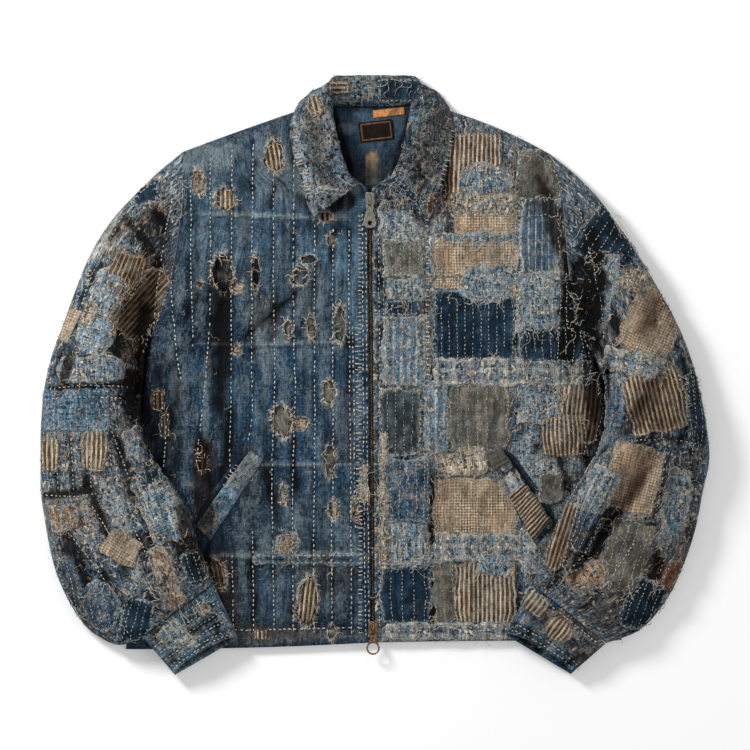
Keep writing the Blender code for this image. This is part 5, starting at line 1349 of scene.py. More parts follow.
# %% The cloths
CLOTHS = {
    "indigo": cloth("indigo_cloth", flecks=0.2, fleck="pale", gaps=0.5, streaks=0.5, mottle=0.35, pleat_shade=0.6,
        wear=0.4, rim="bone"),
    "boro": cloth("boro_cloth", flecks=0.9, gaps=0.9, streaks=0.45, clouds=0.45, mottle=0.6, pleat_shade=0.4,
        wear=0.45, knit=0.4, nubs=0.7, rim=None, relief=1.0, coarse=1.35),
    "collar": cloth("collar_cloth", flecks=0.5, gaps=0.95, streaks=0.35, clouds=0.5, mottle=0.75, pleat_shade=0.3,
        wear=0.4, knit=0.3, nubs=0.25, rim=None, relief=1.0, coarse=1.2),
    "cuff": cloth("cuff_cloth", flecks=0.55, gaps=0.7, streaks=0.35, clouds=0.4, mottle=0.5, wear=0.5, nubs=0.4,
        rim=None),
    "inside": cloth("inside_cloth", flecks=0.06, gaps=0.3, clouds=0.25, wear=0.1, rib=0.25, rim=None),
    "frayed": cloth("frayed_blue_cloth", plain("sky", "pale"), flecks=0.95, gaps=0.8, streaks=0.5, mottle=0.65,
        pleat_shade=0.35, wear=0.5, knit=0.8, nubs=0.8, rim="bone", relief=1.0, coarse=1.5),
    "ticking": cloth("ticking_cloth", ticking, flecks=0.1, clouds=0.25, rim="stone"),
    "brown_ticking": cloth("brown_ticking_cloth",
        lambda n, uv: ticking(n, uv, (172, 142, 110), "brown", "umber", "brown"), flecks=0.1, rim="tan"),
    "check": cloth("tan_check_cloth", checked((208, 188, 160), (158, 135, 109), (54, 42, 32)), flecks=0.1,
        gaps=0.45, streaks=0.4, clouds=0.35, rib=0.25, rim="stone"),
    "grid": cloth("blue_grid_cloth", checked("sky", "mesh", "indigo", 6.6, 1.4), flecks=0.5, gaps=0.7,
        streaks=0.55, mottle=0.6, rim="sky"),
    "grey": cloth("grey_canvas", plain("grey", "stone"), flecks=0.16, streaks=0.45, rim="bone"),
    "slate": cloth("slate_canvas", plain("slate", (66, 76, 80)), flecks=0.06, fleck="pale", gaps=0.35,
        rim="bone"),
    "stone": cloth("brown_canvas", plain("grey", "stone", (0.3, 0.7)), flecks=0.12, gaps=0.35, streaks=0.4,
        rim="stone"),
    "navy": cloth("navy_cloth", plain("navy", "indigo", (0.45, 0.8)), flecks=0.08, fleck="sky", gaps=0.35,
        streaks=0.45),
    "lined": cloth("lined_blue_cloth", lined("mesh", "bone", 8.0, 0.13), flecks=0.25, gaps=0.5, streaks=0.5,
        mottle=0.4, rim="bone"),
    "pale": cloth("pale_blue_cloth", lined("sky", "bone", 9.0, 0.22), flecks=0.6, gaps=0.7, streaks=0.45,
        mottle=0.45, nubs=0.5, rim="bone"),
    "worn": cloth("worn_blue_cloth", plain("blue", "mesh"), gaps=0.6, streaks=0.5, mottle=0.45, nubs=0.3),
    "cream": cloth("cream_cloth", plain("stone", "bone"), flecks=0.75, fleck="cream", gaps=0.8, streaks=0.45,
        mottle=0.5, knit=0.8, nubs=0.8, rim="stone", coarse=1.4),
    "plaid": cloth("faded_plaid_cloth", banded, flecks=0.55, gaps=0.8, mottle=0.5, knit=0.6, nubs=0.8,
        rim="bone", coarse=1.3),
    "tan": cloth("tan_cloth", plain("grey", "tan", (0.3, 0.6)), flecks=0.7, gaps=0.85, mottle=0.6, knit=0.6,
        nubs=0.5, rim="sky", coarse=1.3),
    "rust": cloth("rust_cloth", plain("rust", "tan", (0.3, 0.6)), gaps=0.6, mottle=0.5, rim="bone"),
    "brown": cloth("brown_cloth", plain("umber", "brown"), flecks=0.2, fleck="tan", gaps=0.5, rim="tan"),
    # Near-black cloth for under the slits: painted shade for the dark inside.
    "black": cloth("slit_shade_cloth", plain("ink", "slate"), flecks=0.05, rim=None),
}
print("cloths:", len(CLOTHS))


# %% Give a piece its cloth and its body
SLOTS = {
    "frayed": "frayed_blue_cloth", "ticking": "ticking_cloth", "brown_ticking": "ticking_cloth",
    "check": "tan_check_cloth", "grid": "blue_grid_cloth", "grey": "grey_canvas", "slate": "grey_canvas",
    "stone": "brown_canvas", "navy": "navy_cloth", "lined": "lined_blue_cloth", "pale": "pale_blue_cloth",
    "worn": "worn_blue_cloth", "cream": "cream_cloth", "plaid": "faded_plaid_cloth", "tan": "cream_cloth",
    "rust": "rust_cloth", "brown": "rust_cloth", "black": "pocket_lining_cloth",
}


def dress(obj, kind, *nodes, slot="indigo_cloth"):
    """Give a piece its cloth. kind is a cloth's name or a material, and nodes are the walls it stands for."""
    obj.data.materials.clear()
    obj.data.materials.append(CLOTHS.get(kind, kind))
    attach(obj, "jacket")
    SLOTS.get(kind, slot)
    if nodes:
        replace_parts(obj, *nodes)
    return obj


dress(panels["front_right"], "indigo", "front_right")
dress(panels["front_left"], "boro", "front_left")
dress(panels["back"], "inside", "back")
dress(panels["collar"], "collar", "collar")
for side in SIDE_NAMES.values():
    dress(panels["sleeve_" + side], "boro", "sleeve_" + side)
    dress(panels["cuff_" + side], "cuff", "cuff_" + side)
print("dressed:", list(panels))

# %% [markdown]
# ## Laying things on a panel
# Patches, pocket welts, stitches and threads lie on the cloth under them. So each panel's face is
# kept, and a point of the plan is dropped on it from above.

# %% Drop points on a panel
def face_tree(grid):
    rows, columns = grid.shape[:2]
    index = np.arange(rows * columns).reshape(rows, columns)
    quads = np.stack([index[:-1, :-1], index[:-1, 1:], index[1:, 1:], index[1:, :-1]], axis=-1).reshape(-1, 4)
    return BVHTree.FromPolygons(grid.reshape(-1, 3).tolist(), quads.tolist())


faces_under = {name: face_tree(grid) for name, grid in tops.items()}
DOWN, ABOVE_ALL, MID_HEIGHT = Vector((0, 0, -1)), 200, 25


def drop(name, x, y):
    """The points of a panel's face under points of the plan, in mm, and the normals there."""
    x, y = np.broadcast_arrays(x, y)
    spots, normals = np.empty((x.size, 3)), np.empty((x.size, 3))
    for k, (px, py) in enumerate(zip(x.ravel(), y.ravel())):
        spot, normal, *_ = faces_under[name].ray_cast(Vector((px, py, ABOVE_ALL)), DOWN)
        if spot is None:
            spot, normal, *_ = faces_under[name].find_nearest(Vector((px, py, MID_HEIGHT)))
        spots[k], normals[k] = spot, normal * (1 if normal.z >= 0 else -1)
    return spots.reshape(*x.shape, 3), normals.reshape(*x.shape, 3)


print("faces to drop on:", list(faces_under))


# %% Make a patch
PATCH_CELL = 2.9


def lay(name, panel, x, y, uv, lift, wall, values):
    """A thin shell over a grid of the plan, at a height over its panel. Heights may vary."""
    under, _ = drop(panel, x, y)
    up = grid_normals(under)
    outer = under + up * np.asarray(lift)[..., None]
    return closed_shell(name, outer, outer - up * wall, uv, values)


def patch_values(panel, x, y, dx, dy, rim, seed):
    light = 1 + 0.16 * hills(x, y, 26, seed + 60) + 0.1 * hills(x, y, 9, seed + 61)
    warmth = 0.06 * hills(x, y, 34, seed + 62)[..., None] * np.array([1.0, 0.1, -1.0])
    return {
        "tone": light[..., None] * (1 + warmth), "shade": 0.9 * shaded(x, y, SHADES.get(panel, ()))[..., None],
        "worn": unit(0.5 + 0.4 * hills(dx, dy, 7, seed + 63))[..., None], "rim": rim[..., None],
    }


def make_patch(name, panel, p, seed):
    half_w, half_h = p["half_w"], p["half_h"]
    s, t = np.meshgrid(*(np.linspace(-1, 1, max(5, int(2 * half / PATCH_CELL))) for half in (half_w, half_h)))
    x, y = turned(p, s, t, seed)
    dx, dy = s * half_w, t * half_h
    inset = np.minimum((1 - np.abs(s)) * half_w, (1 - np.abs(t)) * half_h)
    rim = unit(1 - inset / (2.4 + 2.6 * p["fray"]))
    curl = 0.5 * p["fray"] * rim**2 * np.clip(hills(x, y, 7, seed + 20), -0.2, 1)
    pucker = 0.3 * hills(dx, dy, 7, seed + 30) * (1 - rim)
    lift = LIFT + LAYER * p["layer"] + curl + pucker - 0.25 * rim
    uv = np.stack([dx, dy], axis=-1) + np.array([13.0, 7.0]) * seed
    values = patch_values(panel, x, y, dx, dy, rim, seed)
    if p["cloth"] in FUZZY:
        values["fuzz"] = 1 - 0.8 * values["shade"]
    return lay(name, panel, x, y, uv, lift, PATCH_WALL, values)


patches = {}
for panel, number, p, seed in each_patch():
    name = f"patch_{panel}_{p['cloth']}_{number + 1}"
    patches[name] = dress(make_patch(name, panel, p, seed), p["cloth"])
made_from = [node for node in frame["nodes"] if node.startswith("patch_")]
for panel in ("front_left", "front_right", "sleeve_right", "sleeve_left"):
    first = next(name for name in patches if name.startswith("patch_" + panel))
    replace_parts(patches[first], *[node for node in made_from if node.startswith("patch_" + panel)])
print("patches:", len(patches), "with", sum(len(o.data.polygons) for o in patches.values()), "faces")


# %% Lay another cloth under each hole
HOLE_MARGIN, HOLE_CLOTH_WALL, UNDER_CLOTH, UNDER_SLIT = 5.0, 0.6, 2.2, 5.0
for number, h in enumerate(HOLES):
    name = f"under_hole_{h['cloth']}_{number + 1}"
    s, t = np.meshgrid(np.linspace(-1, 1, 12), np.linspace(-1, 1, 16))
    half_w, half_h = h["rx"] + HOLE_MARGIN, h["ry"] + HOLE_MARGIN
    x, y = turned({**h, "half_w": half_w, "half_h": half_h, "round": 0.3, "fray": 0.3}, s, t, number)
    dx, dy = s * half_w, t * half_h
    # The near-black cloth under the slits is painted shade, and lies deeper than the others.
    depth = UNDER_SLIT if h["cloth"] == "black" else UNDER_CLOTH
    edge = unit((np.hypot(dx / h["rx"], dy / h["ry"]) - 0.75) / 0.35)
    values = patch_values("front_right", x, y, dx, dy, 0 * edge, number)
    values["shade"] = np.maximum(values["shade"], 0.75 * edge[..., None])
    uv = np.stack([dx, dy], axis=-1) + 11.0 * number
    made = lay(name, "front_right", x, y, uv, -depth + 0 * dx, HOLE_CLOTH_WALL, values)
    dress(made, h["cloth"])


# %% Shapes of the pocket welts and their linings
WELTS = {
    RIGHT: ((-150, -90), (-216, -181), (-197, -198), (-134, -102)),
    LEFT: ((149, -84), (216, -178), (193, -207), (130, -93)),
}
WELT_WIDTH, WELT_LENGTH, WELT_WALL, WELT_PATCH_WALL = 22.0, 114.0, 1.2, 0.6
LINING_WIDTH, LINING_LENGTH, LINING_WALL = 7.0, 110.0, 0.5
LINING_REACH = 7.5


def between(corners, s, t):
    """A point of a four-sided strip. s runs from its mouth edge to its sewn edge, t from top to bottom."""
    a, b, c, d = (np.array(v, float) for v in corners)
    s, t = s[..., None], t[..., None]
    return (1 - s) * ((1 - t) * a + t * b) + s * ((1 - t) * d + t * c)


def make_welt(side):
    panel = "front_" + SIDE_NAMES[side]
    s, t = np.meshgrid(np.linspace(0, 1, 13), np.linspace(0, 1, 44))
    x, y = np.moveaxis(between(WELTS[side], s, t), -1, 0)
    dx, dy = s * WELT_WIDTH, t * WELT_LENGTH
    inset = np.minimum(np.minimum(dx, WELT_WIDTH - dx), np.minimum(dy, WELT_LENGTH - dy))
    rim = unit(1 - inset / 3.0)
    lift = 2.7 - 0.7 * s + 0.5 * bell(dx - 3.5, 2.0) - 1.1 * rim**2 + 0.35 * hills(dx, dy, 6, 71)
    values = patch_values(panel, x, y, dx, dy, 0.6 * rim, 70 + side)
    values["tone"] = painted(x, y, "sky" if side == RIGHT else "indigo", WELT_BLOTS[side])
    values["fuzz"] = 0.5 + 0 * s[..., None]
    uv = np.stack([dx, dy], axis=-1)
    return lay(f"pocket_welt_{SIDE_NAMES[side]}_cloth", panel, x, y, uv, lift, WELT_WALL, values)


def make_lining(side):
    """The lining that shows along a pocket's mouth, darkened by painted shade toward the mouth so that it looks deep.
    """
    panel = "front_" + SIDE_NAMES[side]
    (ax, ay), (bx, by) = WELTS[side][:2]
    out = np.array([by - ay, ax - bx], float)
    out *= LINING_REACH / np.hypot(*out)
    out = out if out[0] * side > 0 else -out
    s, t = np.meshgrid(np.linspace(-0.25, 1, 8), np.linspace(0.03, 0.98, 40))
    taper = unit(4 * t * (1 - t) * 1.6)
    x, y = ax + t * (bx - ax) + s * taper * out[0], ay + t * (by - ay) + s * taper * out[1]
    uv = np.stack([s * LINING_WIDTH, t * LINING_LENGTH], axis=-1)
    values = patch_values(panel, x, y, uv[..., 0], uv[..., 1], 0 * s, 75)
    # Painted shade: 0.95 at the mouth line, fading to 0.2 outward, so the mouth looks deep.
    values["shade"] = np.maximum(0.2 + 0.75 * (1 - unit(s)), values["shade"][..., 0])[..., None]
    values["tone"] = painted(x, y, "indigo", ())
    lift = 0.7 - 0.3 * unit(s)
    return lay(f"pocket_lining_{SIDE_NAMES[side]}_cloth", panel, x, y, uv, lift, LINING_WALL, values)


# %% Lay the pocket pieces on the fronts
WELT_BLOTS = {
    RIGHT: listed("pale .5 -160 -110 14 22 -40; slate .5 -186 -156 9 16 -36; bone .6 -203 -184 6 7 -36"),
    LEFT: listed("stone .5 150 -100 14 16 36; bone .9 163 -124 6 6 36; pale .6 172 -138 8 12 36"),
}
pockets = {}
for side in (RIGHT, LEFT):
    for label, maker, kind, slot in (
        ("welt", make_welt, "cuff", "indigo_cloth"), ("lining", make_lining, "inside", "pocket_lining_cloth"),
    ):
        node = f"pocket_{label}_{SIDE_NAMES[side]}"
        pockets[node] = dress(maker(side), kind, node, slot=slot)
for label, kind, top, bottom in (("top", "stone", 0.01, 0.2), ("middle", "ticking", 0.46, 0.94)):
    s, t = np.meshgrid(np.linspace(0.06, 0.95, 9), np.linspace(top, bottom, int((bottom - top) * 50)))
    x, y = np.moveaxis(between(WELTS[LEFT], s + 0.02 * hills(t, s, 0.06, 3), t), -1, 0)
    over = patch_values("front_left", x, y, s, t, unit(12 * abs(s - 0.5) - 4.8), 77)
    uv = np.stack([t * 150.0, s * 28.0], axis=-1)
    made = lay(f"welt_patch_{label}", "front_left", x, y, uv, 3.5 - 0.7 * s, WELT_PATCH_WALL, over)
    pockets["welt_patch_" + label] = dress(made, kind)
print("pockets:", list(pockets))


# %% Make the neck label and the strip above it
TAG_CELL, TAG_LIFT, TAG_WALL, TAG_TURN = 0.8, 1.3, 0.5, 6.5


def make_tag(name, middle_x, middle_y, width, length, paint):
    s, t = np.meshgrid(*(np.linspace(-1, 1, int(size / TAG_CELL)) for size in (width, length)))
    dx, dy = s * width / 2, t * length / 2
    x, y = swung(dx, dy, -TAG_TURN)
    x, y = middle_x + x, middle_y + y
    inset = np.minimum(width / 2 - np.abs(dx), length / 2 - np.abs(dy))
    values = patch_values("back", x, y, dx, dy, 0 * s, 90)
    values["tone"], values["shade"] = paint(dx, dy, inset), 0.25 * unit(1 - inset[..., None] / 1.5)
    lift = TAG_LIFT + 0.3 * hills(x, y, 9, 92)
    return lay(name, "back", x, y, np.stack([dx, dy], axis=-1), lift, TAG_WALL, values)


def label_paint(dx, dy, inset):
    """A dark woven label, left bare but for a woven border."""
    border = bell(inset - 2.6, 0.55) * (0.5 + 0.5 * (np.sin((dx + dy) * 3.4) > -0.3))
    return colour("umber") * 1.15 + (0.75 * border)[..., None] * (colour("tan") - colour("umber"))


def strip_paint(dx, dy, inset):
    """Plain orange cloth with a faded place and a thin brown mark across it."""
    return painted(dx, dy, "orange", listed("tan .5 10 0 8 4 0; brown .5 6 0 3 9 -50"))


WOVEN = cloth("woven_label", flecks=0.1, fleck="brown", gaps=0.1, streaks=0.1, clouds=0.15, wear=0.1, rib=0.3,
              rim=None, relief=0.5)
label = dress(make_tag("neck_label_cloth", 1.5, 293, 40, 24, label_paint), WOVEN, "neck_label", slot="label_cloth")
strip = dress(make_tag("neck_strip_cloth", 16.5, 315, 38, 9, strip_paint), WOVEN, "neck_strip", slot="rust_cloth")
print("label and strip:", [len(o.data.polygons) for o in (label, strip)], "faces")


# %% The metals
ROUNDED_BY = 0.0014


def metal(name, tint, dark, rough):
    """Worn metal: spots of tarnish, long scuffs, and edges that look rounded, darkened by painted shade."""
    made, n, shader = new_material(name, rough, 1.0)
    place = n.add("ShaderNodeTexCoord", out=3)
    spots = n.grain(place, 2.2, 2.2, 3.0, 3.0)
    scuffs = n.grain(place, 0.6, 5.0, 5.0)
    base = n.mix(n.step(spots, 0.35, 0.65), tint, dark)
    base = n.mix(n.times(n.step(scuffs, 0.55, 0.75), 0.6), base, "cream")
    n.put(shader.inputs["Roughness"], n.ramp(spots, (0.3, rough - 0.1), (0.7, rough + 0.15)))
    rounded = n.add("ShaderNodeBevel", {"Radius": ROUNDED_BY}, samples=6)
    facing = n.add("ShaderNodeNewGeometry", out=1)
    edge = n.add("ShaderNodeVectorMath", {0: rounded, 1: facing}, 1, operation="DOT_PRODUCT")
    # Painted shade: where the rounded normal turns away from the face's own, the colour goes to umber, so the edges
    # look dark.
    n.put(shader.inputs["Base Color"], n.mix(n.step(edge, 0.97, 0.7), base, "umber"))
    bump = {"Height": spots, "Distance": 0.0002, "Strength": 0.4, "Normal": rounded}
    n.put(shader.inputs["Normal"], n.add("ShaderNodeBump", bump))
    return made


BRASS = metal("aged_brass", "tan", "brown", 0.4)
PEWTER = metal("old_pewter", (204, 200, 190), (132, 124, 112), 0.26)
print("metals:", BRASS.name, PEWTER.name)


# %% Make the zip's tapes
TAPE_GAP, TAPE_WIDTH, TAPE_WALL, TAPE_ROWS, TAPE_ACROSS = 0.15, 8.7, 0.8, 200, 6


def node_tree(name):
    mesh = frame["nodes"][name].data
    return BVHTree.FromPolygons([v.co / MM for v in mesh.vertices], [list(p.vertices) for p in mesh.polygons])


def heights_on(tree, x, y, missed):
    """How high a face lies under places of the plan, or the value missed where there is none."""
    hits = [tree.ray_cast(Vector((px, py, ABOVE_ALL)), DOWN)[0] for px, py in zip(x.ravel(), y.ravel())]
    return np.array([missed if hit is None else hit.z for hit in hits]).reshape(x.shape)


def make_tape(side):
    name = "zip_tape_" + SIDE_NAMES[side]
    low, high = (np.array(v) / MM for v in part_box(name))
    levels = np.linspace(low[1] + 0.3, high[1] - 0.3, TAPE_ROWS)
    level, share = np.meshgrid(levels, np.linspace(0, 1, TAPE_ACROSS), indexing="ij")
    x = zip_x(level) + side * (TAPE_GAP + TAPE_WIDTH * share)
    heights = heights_on(node_tree(name), x, level, np.nan)
    across = np.arange(TAPE_ACROSS)
    for row in heights:
        known = ~np.isnan(row)
        row[:] = np.interp(across, across[known], row[known]) if known.any() else np.nanmean(heights)
    outer = np.stack([x, level, heights], axis=-1)
    place = lengths(outer)
    even = 0 * place[..., :1]
    tone = painted(x, level, "umber", listed("brown .7 -3 0 9 160 0"))
    values = {"tone": tone, "shade": 0.25 + even, "worn": 0.4 + even}
    return closed_shell(name + "_cloth", outer, outer - np.array([0, 0, TAPE_WALL]), place, values)


tapes = {
    side: dress(make_tape(side), WOVEN, "zip_tape_" + SIDE_NAMES[side], slot="zip_tape_cloth")
    for side in (RIGHT, LEFT)
}
WORN_BY = 0.0005
for node, made in (("slider_top", PEWTER), ("pull_top", PEWTER), ("slider_bottom", BRASS), ("pull_bottom", BRASS)):
    part = frame["nodes"][node]
    part.data.materials.clear()
    part.data.materials.append(made)
    bevel = part.modifiers.new("worn edges", "BEVEL")
    bevel.width, bevel.segments = WORN_BY, 2
print("zip tapes:", [len(o.data.polygons) for o in tapes.values()])

# %% [markdown]
# ## Stitches, threads and teeth
# A few small shapes are made once and planted at thousands of points by one node tree. Each point
# has the way its stitch runs, the way the cloth faces there, a size and a tone. The points of the
# long rows come from the tables, those of the fringes from the patches' and holes' edges, and the
# loose ones are scattered where the cloth is fuzzy.

# %% Small shapes
def tube(name, path, radii, sides):
    path = np.asarray(path, float)
    along = np.gradient(path, axis=0)
    along /= np.linalg.norm(along, axis=1, keepdims=True)
    beside = np.cross(along, (0.0, 0.02, 1.0))
    beside /= np.linalg.norm(beside, axis=1, keepdims=True)
    over = np.cross(beside, along)
    angle = np.linspace(0, 2 * math.pi, sides, endpoint=False)[None, :, None]
    outward = np.cos(angle) * beside[:, None] + np.sin(angle) * over[:, None]
    rings = path[:, None] + outward * np.array(radii)[:, None, None]
    index = np.arange(len(path) * sides).reshape(len(path), sides)
    after = np.roll(index, -1, axis=1)
    quads = np.stack([index[:-1], after[:-1], after[1:], index[1:]], axis=-1).reshape(-1, 4).tolist()
    mesh = bpy.data.meshes.new(name)
    mesh.from_pydata((rings.reshape(-1, 3) * MM).tolist(), [], quads + [index[0, ::-1].tolist(), index[-1].tolist()])
    mesh.shade_smooth()
    return bpy.data.objects.new(name, mesh)


def curled(name, seed, length, curl, loose, radius=0.36, steps=7):
    """A loose cotton thread that starts at the origin and wanders along +X."""
    u = np.linspace(0, 1, steps)
    wander = hills(u * 3.2, 0 * u, 1.0, seed) - hills(0.0, 0.0, 1.0, seed)
    heading = curl * wander + 0.5 * curl * u * (1 if seed % 2 else -1)
    step = length / (steps - 1)
    x, y = np.cumsum(np.cos(heading)) * step, np.cumsum(np.sin(heading)) * step
    z = 0.15 + loose * np.sin(math.pi * u) * (0.6 + 0.4 * hills(u * 4, 0 * u, 1.0, seed + 5))
    return tube(name, np.stack([x - x[0], y - y[0], z], axis=1), radius * (1 - 0.5 * u**3), 3)


SHAPES = {
    "stitch": [tube(f"stitch_{k}", [(-0.5, 0, -0.12), (-0.3, 0.01 * k, 0.1), (0.3, -0.01 * k, 0.1), (0.5, 0, -0.12)],
                    [0.1, 0.2 + 0.02 * k, 0.21, 0.1], 4) for k in range(3)],
    "fringe": [curled(f"fringe_{k}", 10 + k, 10.0, 0.9 + 0.25 * k, 0.8) for k in range(6)],
    "curl": [curled(f"curl_{k}", 30 + k, 20.0, 3.2 + 0.8 * k, 1.3, 0.3, 10) for k in range(6)],
    "string": [curled(f"string_{k}", 50 + k, 30.0, 1.1 + 0.3 * k, 1.6, 0.3, 12) for k in range(4)],
    "tooth": [tube("tooth", [(-1.3, 0, 0), (-1.1, 0, 0), (0.9, 0, 0), (1.3, 0, 0)], [0.5, 0.62, 0.62, 0.35], 6)],
}
print("shapes:", {kind: len(made) for kind, made in SHAPES.items()})


# %% The node tree that plants them
def planting_tree(kind, material):
    tree = bpy.data.node_groups.new("plant_" + kind, "GeometryNodeTree")
    tree.interface.new_socket("Points", in_out="INPUT", socket_type="NodeSocketGeometry")
    seed = tree.interface.new_socket("Seed", in_out="INPUT", socket_type="NodeSocketInt")
    tree.interface.new_socket("Planted", in_out="OUTPUT", socket_type="NodeSocketGeometry")
    shelf = bpy.data.collections.new("shapes_" + kind)
    for shape in SHAPES[kind]:
        shelf.objects.link(shape)
    n = Nodes(tree)
    start = tree.nodes.new("NodeGroupInput")
    named = lambda name, data_type: n.add("GeometryNodeInputNamedAttribute", {"Name": name}, data_type=data_type)
    whole_shelf = {"Collection": shelf, "Separate Children": True, "Reset Children": True}
    picks = n.add("GeometryNodeCollectionInfo", whole_shelf)
    facing = n.add("FunctionNodeAlignRotationToVector", {"Vector": named("up", "FLOAT_VECTOR")}, axis="Z")
    way = {"Rotation": facing, "Vector": named("along", "FLOAT_VECTOR")}
    turn = n.add("FunctionNodeAlignRotationToVector", way, axis="X", pivot_axis="Z")
    choice = {4: 0, 5: len(SHAPES[kind]) - 1, 8: start.outputs["Seed"]}
    planted = n.add("GeometryNodeInstanceOnPoints", {
        "Points": start.outputs["Points"], "Instance": picks, "Pick Instance": True, "Rotation": turn,
        "Instance Index": n.add("FunctionNodeRandomValue", choice, 2, data_type="INT"),
        "Scale": named("size", "FLOAT_VECTOR"),
    })
    solid = n.add("GeometryNodeRealizeInstances", {"Geometry": planted})
    dyed = n.add("GeometryNodeSetMaterial", {"Geometry": solid, "Material": material})
    end = tree.nodes.new("NodeGroupOutput")
    n.put(end.inputs["Planted"], dyed)
    return tree, seed.identifier


def plant(name, kind, material, spots, seed=1):
    """spots: rows of point, along, up, size (x, y, z) and tone."""
    spots = np.concatenate(spots)
    mesh = bpy.data.meshes.new(name)
    mesh.from_pydata((spots[:, :3] * MM).tolist(), [], [])
    for k, label in enumerate(("along", "up", "size")):
        made = mesh.attributes.new(label, "FLOAT_VECTOR", "POINT")
        made.data.foreach_set("vector", spots[:, 3 * k + 3 : 3 * k + 6].astype(np.float32).ravel())
    mesh.attributes.new("tone", "FLOAT", "POINT").data.foreach_set("value", spots[:, 12].astype(np.float32))
    points = bpy.data.objects.new(name, mesh)
    bpy.context.collection.objects.link(points)
    tree, seed_socket = planting_tree(kind, material)
    modifier = points.modifiers.new("planting", "NODES")
    modifier.node_group = tree
    modifier[seed_socket] = seed
    planted = bpy.data.meshes.new_from_object(points.evaluated_get(bpy.context.evaluated_depsgraph_get()))
    points.modifiers.clear()
    points.data = planted
    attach(points, "jacket")
    print(f"{name}: {len(spots)} planted, {len(planted.polygons)} faces")
    return points


def cotton(name, *stops):
    made, n, shader = new_material(name, 0.85)
    place = n.add("ShaderNodeTexCoord", out=3)
    clouds, own = n.times(n.grain(place, 3, 3), 0.5), n.times(n.attribute("tone"), 0.75)
    n.put(shader.inputs["Base Color"], n.ramp(n.math("ADD", clouds, own), *stops))
    bump = {"Height": n.grain(place, 0.5, 0.5), "Distance": 0.0001, "Strength": 0.5}
    n.put(shader.inputs["Normal"], n.add("ShaderNodeBump", bump))
    return made


# %% Points along rows of stitches
dice = np.random.default_rng(7)


def patch_top(panel, x, y):
    """How high the patches stand over a panel at each point."""
    top = np.zeros(x.shape)
    for p, u, v in patches_at(panel, x, y):
        inside = (abs(u) < p["half_w"]) & (abs(v) < p["half_h"])
        top = np.where(inside, np.maximum(top, LIFT + LAYER * p["layer"]), top)
    return top


def spots_at(panel, x, y, way, length, width, tone, lift=0.0):
    """Points for planting, from places of the plan, the way each runs there, and its size in mm."""
    under, up = drop(panel, x, y)
    at = under + up * (patch_top(panel, x, y) + lift)[:, None]
    along = np.concatenate([way, 0 * way[:, :1]], axis=1)
    along -= up * (along * up).sum(1, keepdims=True)
    along /= np.maximum(np.linalg.norm(along, axis=1, keepdims=True), 1e-6)
    size = np.stack([length, width, width], axis=1)
    return np.concatenate([at, along, up, size, tone[:, None]], axis=1)


def row_spots(panel, line, pitch, length, width, tone, sway=0.5, missing=0.07, across=False):
    """Stitches along one line of the plan, or short bars across it."""
    line = np.asarray(line, float)
    run = np.concatenate([[0], np.cumsum(np.linalg.norm(np.diff(line, axis=0), axis=1))])
    place = np.arange(pitch * 0.6, run[-1] - pitch * 0.3, pitch)
    place = place + dice.normal(0, 0.09 * pitch, place.shape)
    place = place[dice.random(place.shape) > missing]
    if not len(place):
        return np.empty((0, 13))
    at = lambda where: np.stack([np.interp(where, run, line[:, k]) for k in (0, 1)], axis=1)
    way = at(place + 2) - at(place - 2) + dice.normal(0, 0.35, (len(place), 2))
    way = way[:, ::-1] * (1, -1) if across else way
    spot = at(place) + dice.normal(0, 0.25, (len(place), 2))
    spot += sway * hills(place, 0 * place, 40, int(abs(line[0, 0])))[:, None] * np.array([1.0, 0.2])
    lengths_here = length * dice.normal(1, 0.12, len(place))
    widths_here = width * dice.normal(1, 0.1, len(place))
    tones_here = unit(tone + dice.normal(0, 0.16, len(place)))
    return spots_at(panel, spot[:, 0], spot[:, 1], way, lengths_here, widths_here, tones_here)


def clear_of_holes(spots):
    clear = np.ones(len(spots), bool)
    for seed, h in enumerate(HOLES):
        clear &= inside_hole(h, spots[:, 0], spots[:, 1], seed) > 1.05
    return spots[clear]


# %% Sew the rows
# Spacing, length and width of the stitches in mm, and their tone from dark, 0, to light, 1
QUILTING, SEWING = (5.8, 3.3, 3.1, 0.62), (5.4, 3.0, 2.6, 0.62)
ROUND_A_PATCH, ACROSS_A_PATCH = (5.6, 2.8, 1.9, 0.55), (4.6, 2.6, 1.8)
long_rows = []
for panel, rows in ROWS.items():
    for line in rows:
        long_rows.append(row_spots(panel, line, *(QUILTING if panel == "front_right" else SEWING)))
for panel, pitch, length, *line in BARS:
    long_rows.append(row_spots(panel, list(zip(line[::2], line[1::2])), pitch, length, 2.6, 0.6, across=True))
long_rows = [clear_of_holes(part) for part in long_rows]

FROM_EDGE = 2.8
patch_rows = []
for panel, _, p, seed in each_patch():
    half_w, half_h = p["half_w"], p["half_h"]
    step = np.linspace(-0.94, 0.94, 24)
    line = lambda s, t: np.stack(turned(p, s + 0 * step, t + 0 * step, seed), axis=1)
    if p["cloth"] not in ("frayed", "cream"):
        for k in (-1, 1):
            for edge in (line(k * (1 - FROM_EDGE / half_w), step), line(step, k * (1 - FROM_EDGE / half_h))):
                patch_rows.append(row_spots(panel, edge, *ROUND_A_PATCH))
    tone = 0.5 if p["cloth"] in ("slate", "stone", "grey") else 0.62
    for s in np.arange(-half_w + p["rows"], half_w - 3, p["rows"]) if p["rows"] else ():
        patch_rows.append(row_spots(panel, line(s / half_w, step), *ACROSS_A_PATCH, tone, sway=0.8))

CREAM_COTTON = cotton("cream_cotton", (0.3, "stone"), (0.5, "pale"), (0.75, "bone"), (1.0, (226, 220, 204)))
stitches = plant("long_rows_of_stitches", "stitch", CREAM_COTTON, long_rows)
small_stitches = plant("patch_stitches", "stitch", CREAM_COTTON, patch_rows, 2)


